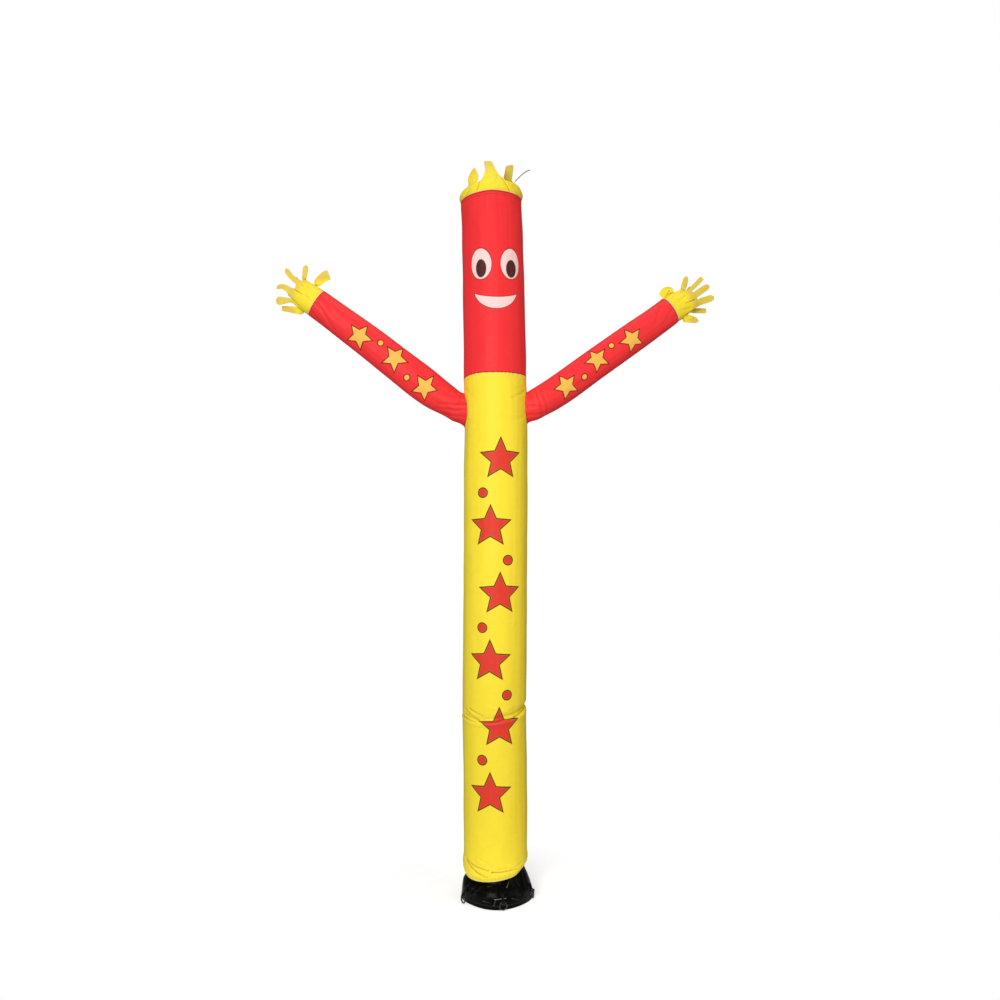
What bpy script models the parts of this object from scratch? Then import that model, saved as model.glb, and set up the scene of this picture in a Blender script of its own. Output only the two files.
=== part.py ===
"""Inflatable tube man, about 3 m tall, standing on its black collar.

Every piece is cloth (rings apart) and is built as an open sheet that Solidify
gives its wall. Seen from the front, which faces -Y, +X is to the right. Z is
up, and the origin is on the ground at the middle of the whole.
"""

import math

import bmesh
import bpy
from mathutils import Vector

MM = 0.001

# Tube, metres
TUBE_RADIUS = 0.1295
BODY_SWELL = 0.0025
SWELL_TOP = 2.08
SWELL_BOTTOM = 1.66
HEAD_TOP_RADIUS = 0.126
HEM_RADIUS = 0.1215
HEM_HEIGHT = 0.1105
HEM_SLOPE = 0.0155
HEM_FRONT_DIP = 0.0095
NECK_HEIGHT = 2.154
HEAD_TOP = 2.888
SIDES = 36

# Where the slack tube's middle stands at each height: (height in metres, shift in mm)
TUBE_DRIFT = ((0.000, 2.5), (0.250, 2.5), (0.520, 1.0), (0.770, -2.5), (1.120, 0.5), (1.640, 3.0), (1.920, 4.4),
              (2.060, 2.5), (2.200, -0.5), (2.530, -5.0), (2.720, -10.0), (2.888, -16.0), (3.060, -17.0))

# Cloth walls and the gap that sewn pieces keep
CLOTH = 0.002
COATED_CLOTH = 0.0025
SEAM_GAP = 0.0003

# Buckle, where the slack tube has folded on itself
BUCKLE = {"height": 0.770, "front_drop": 0.022, "right_rise": 0.010, "swell": 0.35,
          "depth": 0.0055, "right_depth": 0.0040, "above": 0.012, "below": 0.014, "spread": 0.015}

# Gathers above the hem, metres above it
GATHER = {"rise": 0.030, "bulge": 0.0028, "left_bulge": 0.0010, "ripple": 0.0008, "bulge_height": 0.042,
          "bulge_spread": 0.022, "settle": 0.110, "fold_start": 0.025}

# Folds pressed into the body: angle and height of both ends, depth and half width in mm
FOLD_COLUMNS = ("from_angle", "from_height", "to_angle", "to_height", "depth", "half_width")
BODY_FOLDS = (
    (-152, 172, -104, 118, 5.0, 11),
    (-152, 174, -88, 150, 4.0, 12),
    (-88, 150, -50, 148, 4.5, 12),
    (-50, 148, -72, 130, 3.0, 10),
    (100, 165, 150, 125, 4.0, 12),
    (20, 165, 60, 120, 4.0, 12),
    (-24, 2086, -52, 2050, 3.0, 16),
    (-28, 1985, -60, 1950, 2.5, 16),
    (-156, 2092, -128, 2060, 3.0, 16),
    (-152, 1968, -118, 1940, 2.5, 16),
)

# Arms, mm: middle of each section, the turn of its plane in degrees, half height and half depth
ARM_COLUMNS = ("x", "y", "z", "turn", "half_height", "half_depth")
ARM_LEFT = (
    (-130, 0, 2016, 0, 72.0, 60.0),
    (-150, -1, 2029, 16, 62.5, 60.0),
    (-180, -4, 2049, 29, 58.5, 61.0),
    (-245, -9, 2091, 35, 66.0, 60.0),
    (-311, -15, 2138, 37, 70.0, 57.0),
    (-409, -23, 2211, 37, 69.0, 57.5),
    (-507, -31, 2286, 37, 67.0, 58.0),
    (-605, -39, 2356, 36, 63.5, 58.5),
    (-669, -45, 2404, 35, 61.0, 58.5),
    (-733, -49.7, 2449.2, 34, 59.5, 58.0),
    (-737, -50, 2452, 34, 59.5, 58.0),
)
ARM_RIGHT = (
    (130, 0, 2028, 0, 65.0, 60.0),
    (150, 1, 2036, 14, 60.5, 61.0),
    (182, 3, 2056, 28, 58.0, 62.0),
    (229, 7, 2083, 32, 60.0, 61.0),
    (296, 12, 2127, 34, 62.5, 60.0),
    (397, 19, 2201, 35, 64.0, 59.0),
    (497, 27, 2272, 35, 64.0, 59.0),
    (599, 34, 2344, 35, 62.0, 59.0),
    (667, 39, 2393, 35, 60.0, 58.5),
    (737, 43.7, 2443.2, 35, 58.8, 58.0),
    (741, 44, 2446, 35, 58.8, 58.0),
)
ARM_TILT = {"arm_left": -4.0, "arm_right": 3.5}
ARM_SIDES = 24
SLEEVE_GAP = 0.0008
ARMHOLES = {"armhole_left": (-1, 2.016, 0.058), "armhole_right": (1, 2.028, 0.052)}
ARMHOLE_HALF_DEPTH = 0.048

# Hands: a cuff cut into strips. Angles in degrees, lengths in mm.
# at runs round the cuff from its upper side (0) over the front (90); root is half the
# strip's root; reach is how far from the wrist the cut ends; splay is the strip's direction
# off the arm's; bend is its turn by the tip, late how much of it comes near the tip.
STRIP_COLUMNS = ("at", "root", "reach", "splay", "bend", "late", "lean", "length", "waist", "tip",
                 "twist", "end")
HAND_LEFT = (
    (0, 11, 41, 88, 38, 1.0, 8, 74, 21, 37, 0, "square"),
    (27, 11, 82, 60, 8, 1.0, 5, 59, 18, 20, 0, "round"),
    (60, 11, 98, -3, 31, 1.0, 0, 68, 20, 20, 0, "round"),
    (110, 18, 88, 6, -88, 3.0, 4, 72, 24, 17, 0, "round"),
    (141, 9, 75, -30, -12, 1.0, 0, 64, 16, 34, 0, "round"),
    (190, 10, 36, -30, -3, 1.0, -4, 74, 18, 20, 10, "square"),
    (245, 11, 78, 4, 0, 1.0, -4, 46, 20, 20, 0, "round"),
    (303, 11, 88, -3, 30, 1.0, -4, 52, 20, 20, 0, "round"),
)
HAND_RIGHT = (
    (8, 12, 43, 78, 168, 1.0, 10, 76, 26, 28, 0, "round"),
    (37, 11, 77, 37, 6, 1.0, 6, 57, 23, 20, 0, "round"),
    (62, 9, 100, 9, 4, 1.0, 0, 70, 17, 19, 0, "square"),
    (91, 12, 103, 0, 0, 1.0, 0, 70, 26, 23, 0, "round"),
    (127, 13, 101, -13, -4, 1.0, 0, 67, 27, 25, 0, "round"),
    (178, 11, 27, -51, -14, 1.0, 0, 54, 20, 23, 0, "round"),
    (232, 10, 70, -31, -4, 1.0, -5, 76, 20, 20, 0, "square"),
    (300, 11, 88, 9, 4, 1.0, -4, 56, 20, 20, 0, "round"),
)
CUFF_ROWS = (0.0, 6.0, 24.0)
PALM_HALF_HEIGHT = 60.0
PALM_HALF_DEPTH = 46.0
PALM_DROP = {"hand_left": 4.0, "hand_right": 10.0}
PALM_DROP_REACH = 100.0
CUT_NOTCH = 3.0
STRIP_ROWS = 7

# Shares of a strip's length: the fillet at its root, where a round end begins, and the turn
# from the palm's edge into the strip's own plane
STRIP_FILLET = 0.35
STRIP_ROUND_FROM = 0.80
STRIP_SQUARE_FROM = 0.92
STRIP_TURN_BY = 0.45

# Hair: a band on top of the head cut into strips. Lengths in mm; first and last are the
# band's sectors, counted from +X towards +Y, that the strip grows from.
BAND_ROWS = ((0.3, 125.6), (8, 128.5), (18, 130.5), (32, 128.0), (44, 123.0))
BAND_SIDE_SWELL = {"most": 2.5, "height": 18.0, "spread": 12.0}
BAND_LEFT = {"drop": 0.20, "draw_in": 7.0}
HAIR_COLUMNS = ("first", "last", "height", "inward", "sway", "waist", "tip", "end")
HAIR_STRIPS = (
    (25, 30, 96, 64, -18, 48, 31, "square"),
    (31, 38, 22, 30, 0, 90, 56, "round"),
    (40, 43, 130, 20, -22, 44, 36, "round"),
    (44, 46, 40, 62, 6, 34, 26, "round"),
    (47, 50, 36, 66, -8, 34, 26, "round"),
    (51, 54, 44, 58, 4, 34, 26, "round"),
    (55, 57, 14, 26, 0, 40, 26, "round"),
    (58, 60, 71, 20, -12, 46, 16, "round"),
)
LOCK_LEAN_START = 0.15

# Collar: the black coated skirt that ties over a blower. Heights and radii in mm.
COLLAR_ROWS = ((126, 115.5), (112, 117.0), (106, 118.7), (97, 122.5), (84, 130.0), (66, 139.0), (48, 143.5),
               (30, 145.4), (20.0, 145.6), (17.5, 146.8), (3.0, 146.8), (0.0, 146.8))
COLLAR_SHIFT = Vector((0.008, -0.010, 0.0))
COLLAR_SHIFT_FROM = 0.020
COLLAR_SHIFT_TOP = 0.100
COLLAR_SAG = 0.0012

# Tie-down rings on webbing tabs, mm
RING_ANGLES = (60, 140, 210, 280, 350)
RING = {"radius": 15.0, "wire": 2.75, "height": 18.3, "bow": 0.6}
TAB = {"width": 12.0, "thickness": 1.2, "lay_off": 1.2, "top": 62.0, "middle": 50.0, "eye": 5.1,
       "eye_top": 8.0, "layer_gap": 0.4, "eye_turn": 235}

# Loose stiff cord end at the hair, metres
CORD_RADIUS = 0.0011
CORD_POINTS = ((0.0830, -0.0180, 2.9590), (0.0955, -0.0195, 2.9715), (0.1085, -0.0210, 2.9840),
               (0.1220, -0.0220, 2.9945), (0.1335, -0.0225, 3.0015), (0.1450, -0.0225, 3.0050))
CORD_STEPS = 18

COLOURS = {
    "yellow_cloth": ((0.98, 0.78, 0.05), 0.55, 0.0),
    "red_cloth": ((0.80, 0.03, 0.04), 0.55, 0.0),
    "black_cloth": ((0.010, 0.011, 0.010), 0.40, 0.0),
    "black_webbing": ((0.012, 0.012, 0.012), 0.75, 0.0),
    "ring_metal": ((0.035, 0.035, 0.036), 0.35, 1.0),
    "brown_cord": ((0.09, 0.035, 0.02), 0.60, 0.0),
}


def clear_scene():
    for thing in list(bpy.data.objects):
        bpy.data.objects.remove(thing, do_unlink=True)


def collection(name):
    made = bpy.data.collections.new(name)
    bpy.context.scene.collection.children.link(made)
    return made


def material(name):
    colour, roughness, metallic = COLOURS[name]
    made = bpy.data.materials.new(name)
    made.use_nodes = True
    made.diffuse_color = (*colour, 1.0)
    shader = made.node_tree.nodes["Principled BSDF"]
    shader.inputs["Base Color"].default_value = (*colour, 1.0)
    shader.inputs["Roughness"].default_value = roughness
    shader.inputs["Metallic"].default_value = metallic
    return made


def smoothstep(value):
    value = min(1.0, max(0.0, value))
    return value * value * (3.0 - 2.0 * value)


def bump(distance, width):
    return math.exp(-((distance / width) ** 2))


def spaced(first, last, count):
    return [first + (last - first) * i / (count - 1) for i in range(count)]


def rows_of(columns, table):
    return [dict(zip(columns, row)) for row in table]


def new_object(name, mesh, look, into):
    made = bpy.data.objects.new(name, mesh)
    into.objects.link(made)
    mesh.materials.append(look)
    mesh.shade_smooth()
    return made


def add_wall(thing, thickness):
    wall = thing.modifiers.new("wall", "SOLIDIFY")
    wall.thickness = thickness
    wall.offset = -1.0
    return wall


def freeze(thing):
    """Replaces an object's mesh by the one its modifiers make."""
    graph = bpy.context.evaluated_depsgraph_get()
    made = bpy.data.meshes.new_from_object(thing.evaluated_get(graph))
    thing.modifiers.clear()
    thing.data = made


def turned(name, profile, look, into):
    """Turns a profile of (radius, height), listed from the top down, into an open tube."""
    mesh = bpy.data.meshes.new(name)
    points = [(radius, 0.0, height) for radius, height in profile]
    mesh.from_pydata(points, [(i, i + 1) for i in range(len(points) - 1)], [])
    thing = new_object(name, mesh, look, into)
    screw = thing.modifiers.new("turn", "SCREW")
    screw.steps = SIDES
    screw.render_steps = SIDES
    screw.use_merge_vertices = True
    screw.merge_threshold = 0.0001
    freeze(thing)
    return thing


def reshape(thing, place):
    """Moves each point by a function of its angle, height and radius."""
    for point in thing.data.vertices:
        x, y, z = point.co
        point.co = place(math.atan2(y, x), z, math.hypot(x, y))


# Body, head and the folds in them

def tube_lean(z):
    """How far the tube's axis has drifted sideways at a height."""
    for (low, first), (high, second) in zip(TUBE_DRIFT, TUBE_DRIFT[1:]):
        if z <= high:
            return (first + (second - first) * smoothstep((z - low) / (high - low))) * MM
    return TUBE_DRIFT[-1][1] * MM


def body_radius(z):
    """Radius of the slack body, a little wider below the arms."""
    return TUBE_RADIUS + BODY_SWELL * smoothstep((SWELL_TOP - z) / (SWELL_TOP - SWELL_BOTTOM))


def hem_height(angle):
    return HEM_HEIGHT + HEM_SLOPE * math.cos(angle) + HEM_FRONT_DIP * math.sin(angle)


def hem_gather(angle, above_hem):
    """Radius near the hem: drawn in at the edge, then blown out over it."""
    rise = math.sin(0.5 * math.pi * min(1.0, above_hem / GATHER["rise"]))
    drawn = (TUBE_RADIUS + BODY_SWELL - HEM_RADIUS) * (1.0 - rise)
    height = (GATHER["bulge"] - GATHER["left_bulge"] * math.cos(angle)
              + GATHER["ripple"] * math.sin(5.0 * angle))
    return height * bump(above_hem - GATHER["bulge_height"], GATHER["bulge_spread"]) - drawn


def buckle_offset(angle, z):
    crease = (BUCKLE["height"] + BUCKLE["front_drop"] * math.sin(angle)
              + BUCKLE["right_rise"] * math.cos(angle))
    depth = BUCKLE["depth"] + BUCKLE["right_depth"] * math.cos(angle)
    pinch = bump(z - crease - BUCKLE["above"], BUCKLE["spread"])
    swell = bump(z - crease + BUCKLE["below"], BUCKLE["spread"])
    return depth * (BUCKLE["swell"] * swell - pinch)


def fold_offset(angle, z):
    """Depth of the pressed-in folds at a place on the unrolled tube."""
    total = 0.0
    for fold in rows_of(FOLD_COLUMNS, BODY_FOLDS):
        turn = math.radians(fold["from_angle"])
        start = Vector((0.0, fold["from_height"] * MM))
        span = math.radians(fold["to_angle"] - fold["from_angle"])
        end = Vector((span * TUBE_RADIUS, fold["to_height"] * MM))
        away = (angle - turn + math.pi) % (2.0 * math.pi) - math.pi
        here = Vector((away * TUBE_RADIUS, z))
        along = (here - start).dot(end - start) / (end - start).length_squared
        nearest = start.lerp(end, min(1.0, max(0.0, along)))
        total -= fold["depth"] * MM * bump((here - nearest).length, fold["half_width"] * MM)
    return total


def body_point(angle, z, radius):
    above = z - HEM_HEIGHT
    settle = 1.0 - smoothstep(above / GATHER["settle"])
    height = z + (hem_height(angle) - HEM_HEIGHT) * settle
    pressed = fold_offset(angle, height) * smoothstep(above / GATHER["fold_start"])
    radius += body_radius(z) - TUBE_RADIUS
    radius += hem_gather(angle, above) + buckle_offset(angle, z) + pressed
    return Vector((tube_lean(z) + radius * math.cos(angle), radius * math.sin(angle), height))


def head_point(angle, z, radius):
    taper = (z - NECK_HEIGHT) / (HEAD_TOP - NECK_HEIGHT)
    radius += (HEAD_TOP_RADIUS - TUBE_RADIUS) * smoothstep(taper)
    return Vector((tube_lean(z) + radius * math.cos(angle), radius * math.sin(angle), z))


def body_heights():
    return (spaced(NECK_HEIGHT, 1.93, 8) + spaced(1.50, 0.90, 2) + spaced(0.830, 0.712, 10)
            + [0.50, 0.25] + spaced(0.200, HEM_HEIGHT, 10))


def make_body(look, into, cutters):
    body = turned("body_tube", [(TUBE_RADIUS, z) for z in body_heights()], look, into)
    reshape(body, body_point)
    add_wall(body, CLOTH)
    for name, (side, height, half_height) in ARMHOLES.items():
        cutter = make_armhole(name, side, height, half_height, cutters)
        cut = body.modifiers.new(name, "BOOLEAN")
        cut.operation = "DIFFERENCE"
        cut.solver = "EXACT"
        cut.object = cutter
    return body


def make_armhole(name, side, height, half_height, cutters):
    """An oval plug through the body's wall, inside the sleeve's root."""
    bpy.ops.mesh.primitive_cylinder_add(vertices=20, radius=1.0, depth=0.10,
                                        location=(side * TUBE_RADIUS, 0.0, height),
                                        rotation=(0.0, 0.5 * math.pi, 0.0),
                                        scale=(half_height, ARMHOLE_HALF_DEPTH, 1.0))
    cutter = bpy.context.object
    cutter.name = name
    for owner in list(cutter.users_collection):
        owner.objects.unlink(cutter)
    cutters.objects.link(cutter)
    cutter.hide_render = True
    cutter.display_type = "WIRE"
    return cutter


def make_head(look, into):
    heights = spaced(HEAD_TOP, NECK_HEIGHT + SEAM_GAP, 6)
    head = turned("head_tube", [(TUBE_RADIUS, z) for z in heights], look, into)
    reshape(head, head_point)
    add_wall(head, CLOTH)
    return head


# Sheets grown row by row

def first_row(bm, points):
    made = bmesh.ops.create_circle(bm, cap_ends=False, segments=len(points), radius=1.0)["verts"]
    return placed(made, points)


def placed(row, points):
    for vert, point in zip(row, points):
        vert.co = point
    return row


def next_row(bm, row, points, closed=True):
    """Extrudes a row of points and puts the new row in its place."""
    count = len(row) if closed else len(row) - 1
    edges = [bm.edges.get((row[i], row[(i + 1) % len(row)])) for i in range(count)]
    made = bmesh.ops.extrude_edge_only(bm, edges=edges)["geom"]
    fresh = {item for item in made if isinstance(item, bmesh.types.BMVert)}
    lifted = [next(e.other_vert(v) for e in v.link_edges if e.other_vert(v) in fresh) for v in row]
    return placed(lifted, points)


def face_outward(bm, axis_point, first_faces):
    """Turns the faces round if those of the first row point to the axis."""
    bm.normal_update()
    bm.faces.ensure_lookup_table()
    outward = sum(bm.faces[i].normal.dot(bm.faces[i].calc_center_median() - axis_point)
                  for i in range(first_faces))
    if outward < 0.0:
        bmesh.ops.reverse_faces(bm, faces=list(bm.faces))


def finish_sheet(name, bm, look, into):
    mesh = bpy.data.meshes.new(name)
    bm.to_mesh(mesh)
    bm.free()
    return new_object(name, mesh, look, into)


# Arms

def arm_axes(turn, tilt, side):
    """Along, up and front axes of a section of an arm."""
    turn, tilt = math.radians(turn), math.radians(tilt)
    along = Vector((side * math.cos(turn) * math.cos(tilt), math.sin(tilt),
                    math.sin(turn) * math.cos(tilt)))
    up = Vector((-side * math.sin(turn), 0.0, math.cos(turn)))
    front = along.cross(up) * side
    return along, up, front


def arm_section(row, tilt, side):
    _, up, front = arm_axes(row["turn"], tilt, side)
    middle = Vector((row["x"], row["y"], row["z"])) * MM
    points = []
    for i in range(ARM_SIDES):
        turn = 2.0 * math.pi * i / ARM_SIDES
        points.append(middle + up * (row["half_height"] * MM * math.cos(turn))
                      + front * (row["half_depth"] * MM * math.sin(turn)))
    return points


def make_arm(name, table, look, into):
    rows = rows_of(ARM_COLUMNS, table)
    side = 1.0 if rows[0]["x"] > 0.0 else -1.0
    bm = bmesh.new()
    row = None
    for i, station in enumerate(rows):
        points = arm_section(station, ARM_TILT[name] * smoothstep(i / 2.0), side)
        if i == 0:
            points = [seated_on_body(point) for point in points]
        row = next_row(bm, row, points) if row else first_row(bm, points)
    face_outward(bm, Vector((rows[0]["x"], 0.0, rows[0]["z"])) * MM, ARM_SIDES)
    arm = finish_sheet(name, bm, look, into)
    add_wall(arm, CLOTH)
    freeze(arm)
    keep_clear_of_body(arm)
    return arm


def seated_on_body(place):
    """The same place moved sideways onto the body's round."""
    clear = body_radius(place.z) + SLEEVE_GAP
    middle = tube_lean(place.z)
    wanted = math.sqrt(max(clear ** 2 - place.y ** 2, 0.0))
    return Vector((middle + math.copysign(wanted, place.x - middle), place.y, place.z))


def keep_clear_of_body(arm):
    """Lays the sleeve's root against the body, outside it."""
    for point in arm.data.vertices:
        seated = seated_on_body(point.co)
        middle = tube_lean(point.co.z)
        if abs(point.co.x - middle) < abs(seated.x - middle):
            point.co = seated


# Strips, for the hands

def strip_end(share, end):
    """Narrowing of a strip's last stretch."""
    if end == "round":
        late = max(0.0, (share - STRIP_ROUND_FROM) / (1.0 - STRIP_ROUND_FROM))
        return math.sqrt(max(0.08, 1.0 - late * late))
    return 1.0 - 0.12 * max(0.0, (share - STRIP_SQUARE_FROM) / (1.0 - STRIP_SQUARE_FROM))


def strip_width(share, root, waist, tip, end):
    """Width of a strip from its root fillet over its waist to its tip."""
    fillet = (root - waist) * max(0.0, 1.0 - share / STRIP_FILLET) ** 2
    return (fillet + waist + (tip - waist) * smoothstep(share)) * strip_end(share, end)


def hand_ring(rows):
    """Angle and reach of the palm's cut edge, three points to a strip."""
    ring = []
    for i, strip in enumerate(rows):
        after = rows[(i + 1) % len(rows)]
        next_at = after["at"] + (360.0 if i + 1 == len(rows) else 0.0)
        ring.append((strip["at"] - strip["root"], strip["reach"]))
        ring.append((strip["at"] + strip["root"], strip["reach"]))
        gap_at = 0.5 * (strip["at"] + strip["root"] + next_at - after["root"])
        ring.append((gap_at, 0.5 * (strip["reach"] + after["reach"]) - CUT_NOTCH))
    return ring


def grow_strip(bm, root_row, strip, axes):
    """Extrudes one strip of a hand along its bent line."""
    along, up, front = axes
    left, right = root_row[0].co.copy(), root_row[-1].co.copy()
    middle = 0.5 * (left + right)
    root_cross = (right - left).normalized()
    root_width = (right - left).length
    facing = -1.0 if strip["at"] < 200.0 else 1.0
    row, place = root_row, middle
    for i in range(1, STRIP_ROWS + 1):
        share = i / STRIP_ROWS
        splay = math.radians(strip["splay"] + strip["bend"] * share ** strip["late"])
        lean = math.radians(strip["lean"])
        heading = (along * (math.cos(splay) * math.cos(lean)) + up * (math.sin(splay) * math.cos(lean))
                   + front * math.sin(lean))
        place = place + heading * (strip["length"] * MM / STRIP_ROWS)
        flat = (up * math.cos(splay) - along * math.sin(splay)) * facing
        twist = math.radians(strip["twist"])
        flat = flat * math.cos(twist) + flat.cross(heading) * math.sin(twist)
        cross = root_cross.lerp(flat, smoothstep(share / STRIP_TURN_BY)).normalized()
        half = 0.5 * strip_width(share, root_width, strip["waist"] * MM, strip["tip"] * MM, strip["end"])
        row = next_row(bm, row, [place - cross * half, place + cross * half], closed=False)


def make_hand(name, table, arm_table, tilt, look, into):
    wrist = dict(zip(ARM_COLUMNS, arm_table[-1]))
    side = 1.0 if wrist["x"] > 0.0 else -1.0
    along, up, front = arm_axes(wrist["turn"], tilt, side)
    middle = Vector((wrist["x"], wrist["y"], wrist["z"])) * MM
    rows = rows_of(STRIP_COLUMNS, table)
    ring = hand_ring(rows)

    def cuff_point(at, reach, half_height, half_depth):
        turn = math.radians(at)
        drop = PALM_DROP[name] * smoothstep(reach / PALM_DROP_REACH)
        return (middle + along * (SEAM_GAP + reach * MM) + up * ((half_height * math.cos(turn) - drop) * MM)
                + front * (half_depth * MM * math.sin(turn)))

    bm = bmesh.new()
    row = None
    for reach in CUFF_ROWS:
        points = [cuff_point(at, reach, wrist["half_height"], wrist["half_depth"]) for at, _ in ring]
        row = next_row(bm, row, points) if row else first_row(bm, points)
    for share in (0.5, 1.0):
        points = []
        for at, reach in ring:
            height = wrist["half_height"] + (PALM_HALF_HEIGHT - wrist["half_height"]) * share
            depth = wrist["half_depth"] + (PALM_HALF_DEPTH - wrist["half_depth"]) * share
            points.append(cuff_point(at, CUFF_ROWS[-1] + (reach - CUFF_ROWS[-1]) * share, height, depth))
        row = next_row(bm, row, points)
    for i, strip in enumerate(rows):
        grow_strip(bm, row[3 * i:3 * i + 2], strip, (along, up, front))
    face_outward(bm, middle, len(ring))
    hand = finish_sheet(name, bm, look, into)
    add_wall(hand, CLOTH)
    return hand


# Hair

def hair_point(sector, height, radius):
    angle = 2.0 * math.pi * sector / SIDES
    z = HEAD_TOP + height * MM
    return Vector((tube_lean(z) + radius * MM * math.cos(angle), radius * MM * math.sin(angle), z))


def band_point(sector, height, radius):
    """A place on the band: blown out at its sides, lower and drawn in on the left."""
    across = math.cos(2.0 * math.pi * sector / SIDES)
    left = max(0.0, -across)
    share = height / BAND_ROWS[-1][0]
    swell = BAND_SIDE_SWELL["most"] * bump(height - BAND_SIDE_SWELL["height"], BAND_SIDE_SWELL["spread"])
    radius += swell * abs(across) - BAND_LEFT["draw_in"] * left * share ** 3
    return hair_point(sector, height * (1.0 - BAND_LEFT["drop"] * left * share), radius)


def make_hair(look, into):
    bm = bmesh.new()
    row = None
    for height, radius in BAND_ROWS:
        points = [band_point(i, height, radius) for i in range(SIDES)]
        row = next_row(bm, row, points) if row else first_row(bm, points)
    for strip in rows_of(HAIR_COLUMNS, HAIR_STRIPS):
        grow_lock(bm, [row[i % SIDES] for i in range(strip["first"], strip["last"] + 1)], strip)
    face_outward(bm, hair_point(0, 0.0, 0.0), SIDES)
    hair = finish_sheet("hair", bm, look, into)
    add_wall(hair, CLOTH)
    return hair


def grow_lock(bm, root_row, strip):
    """Extrudes one strip of hair, leaning in over the open top."""
    band_height, band_radius = BAND_ROWS[-1]
    sector = 0.5 * (strip["first"] + strip["last"])
    angle = 2.0 * math.pi * sector / SIDES
    inward = Vector((-math.cos(angle), -math.sin(angle), 0.0))
    sideways = Vector((-math.sin(angle), math.cos(angle), 0.0))
    root_width = (root_row[-1].co - root_row[0].co).length
    base = band_point(sector, band_height, band_radius)
    row = root_row
    for i in range(1, STRIP_ROWS + 1):
        share = i / STRIP_ROWS
        lean = smoothstep(LOCK_LEAN_START + (1.0 - LOCK_LEAN_START) * share)
        middle = (base + inward * (strip["inward"] * MM * lean)
                  + sideways * (strip["sway"] * MM * (1.0 - (1.0 - share) ** 2))
                  + Vector((0.0, 0.0, strip["height"] * MM * math.sin(0.5 * math.pi * share))))
        width = strip_width(share, root_width, strip["waist"] * MM, strip["tip"] * MM, strip["end"])
        bow = width ** 2 / (8.0 * band_radius * MM)
        points = []
        for j in range(len(root_row)):
            across = 2.0 * j / (len(root_row) - 1) - 1.0
            points.append(middle + sideways * (0.5 * width * across) + inward * (bow * across ** 2))
        row = next_row(bm, row, points, closed=False)


# Collar, tabs and rings

def collar_shift(z):
    """The foot stands off to one side, the top follows the tube."""
    up = smoothstep((z - COLLAR_SHIFT_FROM) / (COLLAR_SHIFT_TOP - COLLAR_SHIFT_FROM))
    return COLLAR_SHIFT.lerp(Vector((tube_lean(z), 0.0, 0.0)), up)


def collar_point(angle, z, radius):
    follow = smoothstep((z - 0.060) / (HEM_HEIGHT - 0.060))
    height = z + (hem_height(angle) - HEM_HEIGHT) * follow
    sag = COLLAR_SAG * math.sin(3.0 * angle + 0.6) * smoothstep((z - 0.020) / 0.02)
    sag *= 1.0 - smoothstep((z - 0.080) / 0.02)
    flat = Vector(((radius + sag) * math.cos(angle), (radius + sag) * math.sin(angle), height))
    return flat + collar_shift(z)


def collar_radius(z):
    """Radius of the collar at a height under its flare, from its own rows."""
    rows = [(height * MM, radius * MM) for height, radius in COLLAR_ROWS]
    for (high, outer), (low, inner) in zip(rows, rows[1:]):
        if low <= z <= high:
            return inner + (outer - inner) * (z - low) / (high - low)
    return rows[-1][1]


def make_collar(look, into):
    profile = [(radius * MM, height * MM) for height, radius in COLLAR_ROWS]
    collar = turned("collar", profile, look, into)
    reshape(collar, collar_point)
    add_wall(collar, COATED_CLOTH)
    return collar


def tab_line():
    """Side view of a tab: down the collar, round the ring's wire and up again (out, height)."""
    lay = 0.5 * TAB["thickness"] + TAB["lay_off"]
    eye = TAB["eye"]
    ring_top = RING["height"] + RING["radius"] - RING["bow"]
    heights = (TAB["top"], TAB["middle"], ring_top + TAB["eye_top"])
    inner = [(lay, z) for z in heights]
    turn = [(lay + eye - eye * math.cos(math.radians(a)), ring_top - eye * math.sin(math.radians(a)))
            for a in spaced(0, TAB["eye_turn"], 9)]
    outer = [(lay + TAB["thickness"] + TAB["layer_gap"], z) for z in reversed(heights)]
    return inner + turn + outer


def make_tab(name, angle, look, into):
    outward = Vector((math.cos(angle), math.sin(angle), 0.0))
    sideways = Vector((-math.sin(angle), math.cos(angle), 0.0)) * (0.5 * TAB["width"] * MM)
    middles = []
    for out, height in tab_line():
        surface = collar_point(angle, height * MM, collar_radius(height * MM))
        middles.append(Vector((surface.x, surface.y, height * MM)) + outward * (out * MM))
    mesh = bpy.data.meshes.new(name)
    count = len(middles)
    mesh.from_pydata([m - sideways for m in middles], [(i, i + 1) for i in range(count - 1)], [])
    bm = bmesh.new()
    bm.from_mesh(mesh)
    made = bmesh.ops.extrude_edge_only(bm, edges=list(bm.edges))["geom"]
    moved = [item for item in made if isinstance(item, bmesh.types.BMVert)]
    bmesh.ops.translate(bm, verts=moved, vec=2.0 * sideways)
    bm.to_mesh(mesh)
    bm.free()
    tab = new_object(name, mesh, look, into)
    add_wall(tab, TAB["thickness"] * MM).offset = 0.0
    return tab


def make_ring(name, angle, look, into):
    lay = 0.5 * TAB["thickness"] + TAB["lay_off"] + TAB["eye"]
    ring_top = (RING["height"] + RING["radius"]) * MM
    surface = collar_point(angle, ring_top, collar_radius(ring_top))
    outward = Vector((math.cos(angle), math.sin(angle), 0.0))
    place = Vector((surface.x, surface.y, RING["height"] * MM)) + outward * (lay * MM)
    bpy.ops.mesh.primitive_torus_add(major_segments=16, minor_segments=6,
                                     major_radius=RING["radius"] * MM, minor_radius=RING["wire"] * MM,
                                     location=place, rotation=(0.5 * math.pi, 0.0, angle + 0.5 * math.pi))
    ring = bpy.context.object
    ring.name = name
    for owner in list(ring.users_collection):
        owner.objects.unlink(ring)
    into.objects.link(ring)
    ring.data.materials.append(look)
    ring.data.shade_smooth()
    return ring


# Cord

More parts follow.
